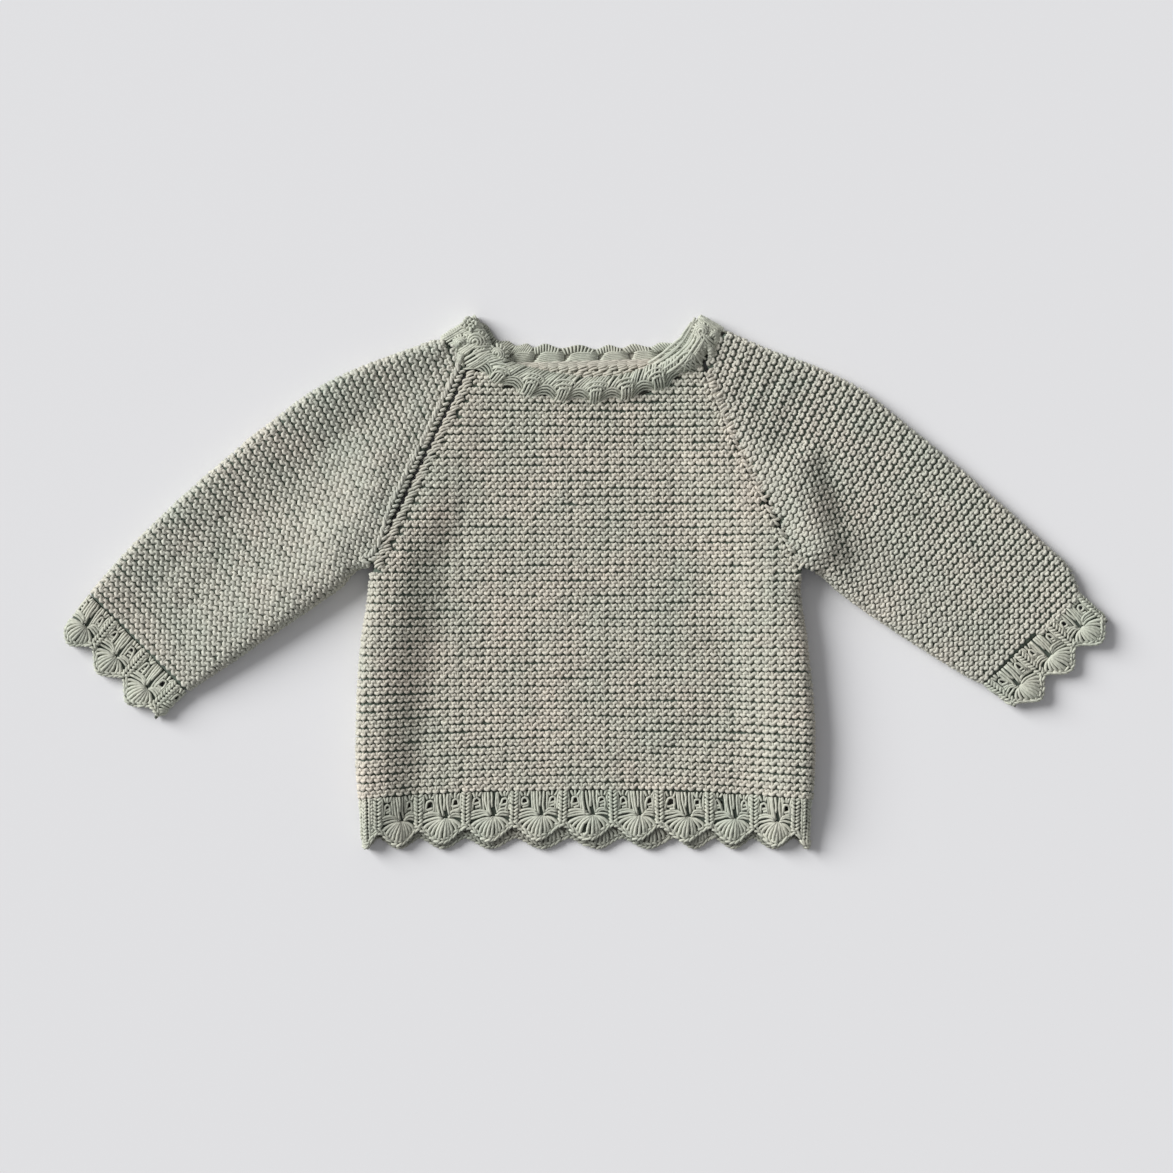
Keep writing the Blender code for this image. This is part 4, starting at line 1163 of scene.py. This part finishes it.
def lace_strands(lace, least_depth):
    """All strands of a strip, as lists of paths for thin yarn, for the fans' rays and for chains."""
    thin, rays, thick = [], [], []
    notches = np.array(lace.notches)

    def column(line, least, short, *form):
        """A chain down a line at least this far inside the strip's ends, that stops short of its edge."""
        if least < line < lace.total - least:
            length = float(lace.edge(np.array(line))) - short
            thick.extend(chained(lambda run, side: (line + side, run - 2.0), length, *form))

    for first, last in zip(notches, notches[1:]):
        if last - first > NARROW_FAN:
            paths, spread_out = fan_strands(lace, first, last)
            thin += paths
            rays += spread_out
        else:
            for share in (0.28, 0.5, 0.75):
                column(lerp(first, last, share), 0.6, 0.6, 2.0, 1.2, 1.9)
    for notch in notches:
        column(notch, 2.6, 0.0, 2.1, 2.3, 2.0, 0.35)

    def along_edge(run, side):
        here = float(np.clip(run, 0.2, lace.total - 0.2))
        return here, float(lace.edge(np.array(here))) - 1.9 + side

    thick += chained(along_edge, lace.total - 1.5, 2.7, 1.6, 3.5, 0.35, 0.1)
    return [kept_within(paths, lace.total, 0.6, 0.2, least_depth) for paths in (thin, rays, thick)]


def lace_wall(lace, name, sink, thickness, step):
    columns = int(lace.total / step) + 1
    rows = int(MEAN_LACE_DEPTH / step) + 1
    distance = np.linspace(0, lace.total, columns)[None, :]
    share = np.linspace(0, 1, rows)[:, None]
    depth = share * lace.edge(distance)
    distance = distance + np.zeros_like(depth)
    middle = distance[:-1, :-1] + lace.total / (columns - 1) / 2
    middle_depth = (depth[:-1, :-1] + depth[1:, 1:]) / 2
    i, across = lace.fan(middle)
    widths = np.diff(np.array(lace.notches))[i]
    keep = np.ones(middle.shape, bool)
    for eyelet in EYELET_SHARES:
        x = (across - eyelet) * widths / (EYELET_WIDTH / 2)
        y = (middle_depth - EYELET_DEPTH) / (EYELET_HEIGHT / 2)
        keep &= (x * x + y * y > 1) | (widths < NARROW_FAN)
    depths = (sink, sink + thickness)
    return between_depths(name, lace.face, distance, depth, depths, keep, turned=lace.turned)


# ---------------------------------------------------------------- cloth walls

# Rows and columns of the walls' grids
FRONT_GRID = (60, 56)
BACK_GRID = (121, 44)
SLEEVE_GRID = (2 * SLEEVE_RIDGES, 56)
BAND_GRID = (15, 161)
ROUNDS = 3  # in which a grid's x and y settle on each other
BACK_TURN = 0.55  # how far the back's sides turn in
# How far every second row of a wall stands back, as the ridges' relief where no stitches lie
BACK_RELIEF = 0.45
UNDER_RELIEF = 0.7
BACK_RIDGE = 4.4  # from ridge to ridge of the strip that shows below the back neckline


def between_depths(name, face, u, v, depths, keep=None, **how):
    """A wall between two depths below a face."""
    outer, inner = (raised(face, u, v, np.full(u.shape, -depth), **how)[0] for depth in depths)
    return thin_wall(name, outer, inner, keep)


def front_wall():
    share_y, share_x = shares(*FRONT_GRID)
    y = lerp(hem_y(0.0), NECK_Y, share_y) + np.zeros_like(share_x)
    for _ in range(ROUNDS):
        left = edge_x("left", y) + edge_roll("left", y) * (1 - edge_turn("left", y))
        right = edge_x("right", y) - edge_roll("right", y) * (1 - edge_turn("right", y))
        x = lerp(left, right, share_x)
        y = lerp(hem_y(x), neckline_y(x), share_y)
    return between_depths("front_cloth", front_face, x, y, (WALL_SINK, WALL_SINK + WALL))


def sleeve_wall(sleeve):
    ridge = np.linspace(0.02, SLEEVE_RIDGES - 0.05, SLEEVE_GRID[0])[:, None]
    ridge, share = grids(ridge, np.linspace(0, 1, SLEEVE_GRID[1])[None, :])
    part = sleeve.section(ridge)
    first = part["under_radius"] * (1 - part["under_turn"])
    last = part["width"] + (math.pi - 1) * part["fold_radius"]
    last = last + part["width"] - 2 * part["fold_radius"]
    distance = lerp(first, last, share)
    step = 0.3

    def face(u, v):
        return sleeve.on_section(sleeve.section(u), v)

    du = face(ridge + step / 4, distance) - face(ridge - step / 4, distance)
    dv = face(ridge, distance + step) - face(ridge, distance - step)
    normal = unit(np.cross(du, dv)) * sleeve.sign
    under = smooth((distance - part["width"] - part["fold_radius"] * 1.2) / 3.0)
    relief = UNDER_RELIEF * under * (np.arange(len(ridge)) % 2)[:, None]
    outer = face(ridge, distance) - normal * (WALL_SINK * (1 - under) + relief)[..., None]
    inner = face(ridge, distance) - normal * (WALL_SINK + WALL)
    return thin_wall("sleeve_" + sleeve.side + "_cloth", outer, inner)


# ---------------------------------------------------------------- the pieces


def dressed(piece, material, parent_node=None):
    piece.data.materials.append(material)
    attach(piece, "root")
    if parent_node:
        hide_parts(parent_node)
    return piece


FRONT_PARTS = (-52.0, 24.0)  # levels that part the front's stitches into three meshes


def make_front():
    wall = dressed(front_wall(), STITCH_GAP_SHADE_COTTON, "front_panel")
    x, y, height = front_stitches()
    levels = np.digitize(y, FRONT_PARTS)
    for name, part in (("lower", levels == 0), ("middle", levels == 1), ("upper", levels == 2)):
        yarn = Yarn()
        garter(yarn, front_face, x[part], y[part], np.zeros(part.sum()), height[part])
        dressed(yarn.build("front_stitches_" + name), YARN_COTTON)
    make_seams()


def back_face(x, y):
    """The inner face of the back, which shows through the neck."""
    x, y = grids(x, y)
    return np.stack([x, y, np.full(x.shape, CLOTH)], -1)


def back_wall():
    """The back lies flat on the table, with a garter relief below, and turns up at its sides."""
    share_y, share_x = shares(*BACK_GRID)
    y = lerp(HEM_Y, RAGLANS["left"]["top_y"], share_y) + 0 * share_x
    sides = {}
    for _ in range(ROUNDS):
        for side, sign in SIDE_SIGN.items():
            roll, radius = rolled(side, y), edge_roll(side, y)
            inset = np.where(roll > 0, radius * (1 - BACK_TURN * roll), 0.5)
            sides[side] = roll > 0, radius, edge_x(side, y) - sign * inset
        x = lerp(sides["left"][-1], sides["right"][-1], share_x)
        y = lerp(HEM_Y, back_neckline_y(x), share_y)
    z = np.zeros_like(x)
    over = x
    for side, sign in SIDE_SIGN.items():
        rolls, radius, _ = sides[side]
        edge = edge_x(side, y)
        angle = np.clip(1 - sign * (edge - x) / radius, 0, 1.0) * rolls
        over = np.where(angle > 0, edge - sign * radius * (1 - np.sin(angle)), over)
        z = np.maximum(z, radius * (1 - np.cos(angle)))
    relief = BACK_RELIEF * (np.arange(BACK_GRID[0]) % 2)[:, None]
    outer = np.stack([over, y, z + 0.1 + relief], -1)
    inner = np.stack([over, y, z + CLOTH - 0.8], -1)
    return thin_wall("back_cloth", outer, inner)


def make_back():
    """The back's wall, with the stitches that show below its neckline and the seam along it."""
    # Its cloth takes the darker back cotton: painted shade between the back's stitches
    wall = dressed(back_wall(), PAINTED_SHADE_BACK_COTTON, "back_panel")
    yarn = Yarn()
    x, y = np.meshgrid(np.arange(-13, 14) * STITCH, np.arange(107.0, 124.5, BACK_RIDGE))
    x, y = x.ravel(), y.ravel()
    keep = (y > neckline_y(x) + 1.0) & (y < back_neckline_y(x) - 1.0)
    garter(yarn, back_face, x[keep], y[keep], np.zeros(keep.sum()), BACK_RIDGE)
    dashes, seam = [], []
    for x in np.arange(-50.0, 56.0, 5.7):
        top = float(back_neckline_y(np.array(x)))
        for drop, shift in ((0.9, 0.0), (2.3, 0.4), (4.4, 2.6), (5.8, 3.0)):
            a, b = rng.normal(0, 0.25, 2)
            dashes.append([(x + shift + a, top - drop - 0.9, 0.2), (x + shift + 2.7, top - drop + b, 1.0),
                           (x + shift + 5.6 + a, top - drop + 0.9, 0.3)])
        for drop in (-1.9, -0.9, 0.1):
            seam.append([(x - 1.0, top - drop - 0.6, 0.3), (x + 3.0, top - drop, 0.9),
                         (x + 8.0, top - drop + 0.5, 0.2)])
    lay(yarn, back_face, dashes, 0.8, points=5)
    lay(yarn, back_face, seam, 0.85, points=5)
    stitches = dressed(yarn.build("back_stitches"), YARN_COTTON)


def across_seam(x, y):
    """The front's height, carried on level past its right raglan edge."""
    x, y = grids(x, y)
    return np.stack([x, y, body_top(np.minimum(x, edge_x("right", y) - 1.5), y)], -1)


# The right raglan's seam: where its column of knitting starts, its length, and the levels of its gaps
SEAM_START = 8.0
SEAM_LENGTH = 114.0
SEAM_HOLES = (77.9, 71.6, 63.0, 57.8, 50.3, 44.6, 40.0, 32.5, 24.0, 16.5)


def make_seams():
    """The raglan seams: knuckles along a groove on the left, and slanted bumps on the right."""
    yarn = Yarn()
    knuckles = []
    for y in RIDGES:
        if not RAGLANS["left"]["armpit_y"] - 1 < y < 121:
            continue
        edge = float(edge_x("left", np.array(y)))
        for shift, rise in ((0.0, -1.9), (-0.4, 0.0), (-0.8, 1.6)):
            a, b, c = rng.normal(0, 0.3, 3)
            x = edge + 1.7 + shift + a
            knuckles.append([(x - 0.3, y + rise - 1.2, -1.1), (x + 0.3, y + rise - 0.6, 0.1),
                             (x + 2.4, y + rise + 0.5 + b, 0.5 + 0.3 * c),
                             (x + 4.6, y + rise + 1.3 + b, -0.3)])
    lay(yarn, front_face, knuckles, 0.82)

    def beside_right(run, side):
        level = SEAM_START + run
        return float(edge_x("right", np.array(level))) - 2.8 + side, level

    column = chained(beside_right, SEAM_LENGTH, 3.3, 2.3, 2.2, 0.55, 0.18, 0.2)
    lay(yarn, front_face, column, 0.95, points=5)
    bumps = []
    y = 10.0
    while y < 122.0:
        edge = float(edge_x("right", np.array(y)))
        a, b, up = rng.normal(0, (0.5, 0.5, 0.25))
        if min(abs(y - hole) for hole in SEAM_HOLES) > 1.4:
            lean = rng.normal(1.0, 1.0)
            bumps.append([(edge - 1.9 + a, y - lean, -0.7), (edge - 0.6 + a, y - 0.4, 0.2 + up),
                          (edge + 0.9, y + 0.6 + b, 0.2 + up), (edge + 2.2 + b, y + lean + b, -0.9)])
        y += rng.normal(2.1, 0.5)
    lay(yarn, across_seam, bumps, 1.0, points=5)
    return dressed(yarn.build("front_seam_strands"), YARN_COTTON)


def make_sleeve(side):
    sleeve = Sleeve(side)
    wall = dressed(sleeve_wall(sleeve), STITCH_GAP_SHADE_COTTON, "sleeve_" + side)
    x, y, angle, height = sleeve_stitches(sleeve)
    yarn = Yarn()
    garter(yarn, sleeve.face, x, y, angle, height)
    if side == "left":
        per_ridge = 5.3

        def seam_face(run, distance):
            return sleeve.on_section(sleeve.section(run / per_ridge), distance)

        rope = chained(lambda run, off: (run + 1.0, 4.6 + off), 24 * per_ridge, 3.1, 2.9, 3.4, 0.4, 0.14)
        lay(yarn, seam_face, rope, 0.95, turned=-1, points=5)
    stitches = dressed(yarn.build("sleeve_" + side + "_stitches"), SLEEVE_COTTON)


LACE_YARN = 0.78
# For upper strips and lower ones: how far the wall lies below the face, its thickness, and its cells' size
LACE_WALLS = {True: (0.75, 1.0, 1.1), False: (0.6, 1.25, 1.6)}
LOWER_STRANDS_FROM = 15.0  # depth above which the upper strip hides the lower one


def make_lace(row):
    lace = Lace(row)
    name, upper = lace.name, lace.upper
    wall = lace_wall(lace, name + "_cloth", *LACE_WALLS[upper])
    dressed(wall, LACE_GAP_SHADE_COTTON, name)
    thin, rays, thick = lace_strands(lace, 0.0 if upper else LOWER_STRANDS_FROM)
    yarn = Yarn()
    lay(yarn, lace.face, thin, LACE_YARN, lace.turned)
    lay(yarn, lace.face, rays, RAY_RADIUS, lace.turned)
    lay(yarn, lace.face, thick, LACE_YARN * 1.1, lace.turned, points=4)
    # The back hem lace's strands take the darker copy: painted shadow
    material = SHADED_LACE_COTTON if name == "hem_lace_back" else LACE_COTTON
    strands = dressed(yarn.build(name + "_strands"), material)


def band_wall(band, name, sink, thickness, last_share):
    rows, columns = BAND_GRID
    place = np.linspace(-2, 2, columns)[None, :]
    place, share = grids(place, np.linspace(-0.03, last_share, rows)[:, None])
    depths = (sink, sink + thickness)
    return between_depths(name, band.by_length, band.length(place), share, depths, step_v=BAND_STEP)


def lay_round(yarn, band, paths, radius, points=STRAND_POINTS):
    """Lays strands over the neck edging, whose paths are lengths round it and shares across."""
    kept = kept_within(paths, band.whole, 1.0, 0.4)
    lay(yarn, band.by_length, kept, radius, step_v=BAND_STEP, points=points)


def shell(x, y, heading, size):
    """Nested arches with short rays round them, as the gathered lace bunches up."""
    paths = []

    def at(angle, reach):
        turn = math.radians(heading + angle)
        return x + reach * size * math.cos(turn), y + reach * size * math.sin(turn)

    for reach, height in ((0.22, 1.7), (0.46, 1.5), (0.7, 1.0)):
        shift = rng.normal(0, 8)
        paths.append([(*at(angle + shift, reach), height - 0.9 * (abs(angle) > 90))
                      for angle in (-115, -60, -20, 20, 60, 115)])
    for angle in np.linspace(-110, 110, 10) + rng.normal(0, 4, 10):
        paths.append([(*at(angle, 0.8), 0.7), (*at(angle + 5, 1.0), 0.3), (*at(angle + 8, 1.2), -0.6)])
    return paths


# Where the edging bunches up at the shoulders: x, y, the way it faces, and its size
SHELLS = (
    (-63.4, 137.6, 70.0, 7.0),
    (-51.2, 130.6, 50.0, 5.6),
    (-71.6, 137.4, 120.0, 4.6),
    (-71.0, 128.8, 160.0, 3.6),
    (66.2, 143.6, 80.0, 5.4),
    (72.8, 141.0, 60.0, 4.0),
    (70.6, 133.0, 20.0, 3.6),
)
# Long strands that sweep up to the right shoulder's peak, and the rays of the fan below them
SWEEPS = (
    ((38.0, 124.6), (47.0, 129.6), (56.0, 138.4), (62.4, 150.0)),
    ((41.0, 123.2), (50.0, 128.6), (58.4, 137.2), (64.6, 149.4)),
    ((44.0, 122.0), (52.6, 127.4), (60.6, 136.0), (66.6, 148.0)),
    ((46.6, 120.4), (55.0, 126.4), (62.6, 135.0), (68.6, 146.4)),
    ((50.0, 119.6), (57.0, 125.6), (64.0, 133.6), (70.6, 144.6)),
    ((36.0, 126.0), (44.6, 131.0), (53.6, 139.6), (60.0, 149.0)),
)
FAN_RAYS = (
    ((60.4, 131.6), (57.6, 126.6), (56.2, 121.4)),
    ((61.0, 131.4), (60.0, 126.6), (59.6, 121.6)),
    ((61.6, 131.4), (62.2, 127.2), (63.4, 122.8)),
    ((62.2, 131.6), (64.2, 128.4), (66.8, 125.2)),
    ((62.8, 132.2), (65.6, 130.4), (68.8, 128.4)),
    ((59.8, 131.6), (55.6, 127.2), (52.8, 122.6)),
)
NEAR = 3.0  # square of the distance at which a sample of the edging's height counts for less
# Strands over the shoulders' folds: how many, and their points as a share of the height and a reach
WRAPS = 17
WRAP_PATH = ((1.02, -1.6), (1.0, 0.0), (0.78, 0.9), (0.45, 1.1), (0.2, 0.7), (0.08, -0.3))
KNOB = ((-70.0, 145.4), (-65.0, 151.8))  # ends of the two columns of beads at the left peak


def wrap_ends(yarn, band):
    """Strands over the folds at both shoulders, from the top of the front's edging down to the table."""
    share = np.linspace(0.02, 0.98, WRAPS)
    for place in (-2.0, 2.0):
        top = band.face(place, share)
        out = unit(band.flat(place, share) - band.flat(place * 0.985, share))
        out = np.pad(out, ((0, 0), (0, 1)))
        paths = []
        for level, reach in WRAP_PATH:
            path = top + out * (reach + rng.normal(0, 0.12, (WRAPS, 1)))
            path[:, 2] = top[:, 2] * level
            paths.append(path)
        outward = np.repeat(out[:, None], len(WRAP_PATH), 1)
        yarn.add(np.stack(paths, 1), outward, 0.85, 1 + rng.normal(0, 0.05, WRAPS))


def spans(feet, past):
    """From foot to foot, with one more span past each end."""
    return zip([feet[0] - past, *feet], [*feet, feet[-1] + past])


def gathered(feet):
    """Strands of the front's edging that gather at its feet and hang between them."""
    paths = []
    for foot in feet[1:-1]:
        slant = rng.normal(0.5, 0.7)
        for offset in (-2.7, -1.0, 0.8, 2.5):
            offset += rng.normal(0, 0.2)
            paths.append([(foot + offset * 0.9 - slant, -0.14, -0.4), (foot + offset * 0.85, 0.15, 0.7),
                          (foot + offset * 1.15 + slant, 0.5, 0.3)])
        for rise, reach in ((0.46, 3.2), (0.62, 5.0), (0.78, 6.6)):
            paths.append([(foot - reach, rise - 0.3, -0.3), (foot - reach * 0.7, rise - 0.08, 0.6),
                          (foot, rise, 0.9), (foot + reach * 0.7, rise - 0.06, 0.6),
                          (foot + reach, rise - 0.22, -0.2)])
    for first, last in spans(feet, 12.0):
        for rise in (-0.02, 0.11, 0.24, 0.37):
            middle = [(lerp(first, last, share), rise + up, height)
                      for share, up, height in ((0.3, -0.02, -0.1), (0.5, 0.05, 0.0), (0.7, -0.02, -0.1))]
            paths.append([(first + 2.4, rise - 0.2, -0.7), *middle, (last - 2.4, rise - 0.2, -0.7)])
    return paths


def rolled_over(whole):
    """Slanted strands over the front edging's roll."""
    paths = []
    run = 0.0
    while run < whole + 4.0:
        end = run + rng.normal(6.5, 0.7)
        up = 0.35 * math.sin(run / 1.9) + rng.normal(0, 0.12)
        paths.append([(run, 0.42, -0.3), (lerp(run, end, 0.3), 0.66, 0.2 + up),
                      (lerp(run, end, 0.7), 0.92, 0.2 + up), (end, 1.14, -0.4)])
        run += rng.normal(2.05, 0.2)
    return paths


def shoulder_strands(band):
    """Strands across the front's edging at both shoulders, under the bunched ones."""
    paths = []
    for start, end in ((-2.0, -0.98), (0.98, 2.0)):
        run, last = float(band.length(start)), float(band.length(end))
        while run < last + 1.0:
            a, b = rng.normal(0, 0.5, 2)
            paths.append([(run, -0.04, -0.1), (run + 0.8 + a, 0.3, 0.2), (run + 1.2 + b, 0.7, 0.2),
                          (run + 2.0, 1.04, -0.2)])
            run += 1.45
    return paths


def make_front_band():
    band = Band(FRONT_OPEN_SIDE, neckline_y, True)
    wall = dressed(band_wall(band, "neck_front_cloth", 0.8, 1.3, 1.12), STITCH_GAP_SHADE_COTTON,
                   "neck_edging_front")
    rows, columns = BAND_GRID
    place = np.linspace(-2, 2, columns)[:, None]
    samples = band.face(place, np.linspace(0, 1, rows)[None, :]).reshape(-1, 3)

    def over(x, y):
        """A point over x, y as high as the edging is near there."""
        x, y = grids(x, y)
        far = (x[..., None] - samples[:, 0]) ** 2 + (y[..., None] - samples[:, 1]) ** 2
        weight = np.exp(-far / NEAR) + 1e-9
        return np.stack([x, y, (weight * samples[:, 2]).sum(-1) / weight.sum(-1)], -1)

    yarn = Yarn()
    feet, roll, under = gathered(band.feet()), rolled_over(band.whole), shoulder_strands(band)
    for paths, radius in ((under, 0.8), (feet, 0.7), (roll, 0.78)):
        lay_round(yarn, band, paths, radius)
    for x, y, heading, size in SHELLS:
        lay(yarn, over, shell(x, y, heading, size), 0.82)
    for path in SWEEPS:
        rise = rng.normal(0.7, 0.2)
        for shift in (0.0, 1.0):
            loose = shift * np.array((0.5, 0.9)) + rng.normal(0, 0.35, (4, 2))
            ups = (rise - 0.6, rise, rise, rise - 0.6)
            lay(yarn, over, [[(x + a, y + b, up) for (x, y), (a, b), up in zip(path, loose, ups)]], 0.78)
    lay(yarn, over, [[(x, y, 1.0 - 0.4 * i) for i, (x, y) in enumerate(path)] for path in FAN_RAYS], 0.75)
    wrap_ends(yarn, band)
    start, end = np.array(KNOB)
    length = math.hypot(*(end - start))
    along = (end - start) / length
    across = np.array((-along[1], along[0]))
    for shift in (-2.4, 1.6):
        column = chained(lambda run, side: tuple(start + along * run + across * (side + shift)),
                         length, 2.3, 1.6, 1.6, 1.3, 0.1)
        lay(yarn, over, column, 0.9, points=5)
    strands = dressed(yarn.build("neck_front_strands"), LACE_COTTON)


def make_back_band():
    band = Band(BACK_OPEN_SIDE, back_neckline_y, False)
    wall = dressed(band_wall(band, "neck_back_cloth", 0.6, 2.2, 1.0), STITCH_GAP_SHADE_COTTON,
                   "neck_edging_back")
    paths = []
    for first, last in spans(band.feet(), 13.0):
        for k in range(9):
            share = (k + 0.5) / 9
            top = lerp(first, last, share)
            base = lerp(first, last, 0.5 + (share - 0.5) * 0.8)
            paths.append([(base, 0.6, -0.1), (lerp(base, top, 0.5), 0.8, 0.3), (top, 0.99, -0.1)])
        for k in range(6):
            low = 0.04 + 0.09 * k
            paths.append([(first + 1.0 + k, low, 0.0), (lerp(first, last, 0.35), low + 0.06, 0.3),
                          (lerp(first, last, 0.7), low + 0.15, 0.3), (last + 2.0, low + 0.27, -0.1)])
    yarn = Yarn()
    lay_round(yarn, band, paths, 0.68, points=5)
    strands = dressed(yarn.build("neck_back_strands"), LACE_COTTON)


for lace_row in LACES[::-1]:
    make_lace(lace_row)
make_back_band()
make_front_band()
make_back()
make_front()
make_sleeve("left")
make_sleeve("right")

# ---------------------------------------------------------------- floor, light and camera


FLOOR_SIZE = 8.0
FLOOR_GAP = 0.0003  # it lies this far below the sweater


def make_floor():
    bpy.ops.mesh.primitive_plane_add(size=FLOOR_SIZE, location=(0, 0, -FLOOR_GAP))
    floor = bpy.context.object
    floor.name = "floor"
    looks = {"Base Color": (0.805, 0.805, 0.818, 1), "Roughness": 0.9}
    floor.data.materials.append(new_material("pale_floor", looks))


def make_sun(name, azimuth, height, strength, softness):
    """A soft, distant lamp. Its azimuth turns from +X towards +Y."""
    light = bpy.data.lights.new(name, "SUN")
    light.energy = strength
    light.angle = math.radians(softness)
    lamp = bpy.data.objects.new(name, light)
    turn, rise = math.radians(azimuth), math.radians(height)
    towards = Vector((math.cos(turn) * math.cos(rise), math.sin(turn) * math.cos(rise), math.sin(rise)))
    lamp.rotation_euler = towards.to_track_quat("Z", "Y").to_euler()
    bpy.context.scene.collection.objects.link(lamp)


def make_world():
    world = bpy.data.worlds.new("studio")
    world.use_nodes = True
    looks = {"Color": (1.0, 1.0, 1.02, 1), "Strength": 0.29}
    fill(world.node_tree, world.node_tree.nodes["Background"], looks)
    bpy.context.scene.world = world


# The photograph's frame at the height of the cloth, and where the camera stands
FRAME_WIDTH = 674.5
FRAME_CENTRE = (0.3, -2.3)
CAMERA_DISTANCE = 2000.0
SENSOR = 36.0
CLIP_END = 100.0  # in metres


def make_camera():
    camera = bpy.data.cameras.new("camera")
    camera.sensor_width = SENSOR
    camera.lens = SENSOR * CAMERA_DISTANCE / FRAME_WIDTH
    camera.clip_end = CLIP_END
    holder = bpy.data.objects.new("camera", camera)
    holder.location = Vector((*FRAME_CENTRE, CAMERA_DISTANCE + LAID)) * MM
    bpy.context.scene.collection.objects.link(holder)
    bpy.context.scene.camera = holder


make_floor()
make_world()
make_sun("key", azimuth=152.0, height=29.0, strength=4.1, softness=36.0)
make_camera()
bpy.context.scene.view_settings.view_transform = "Standard"
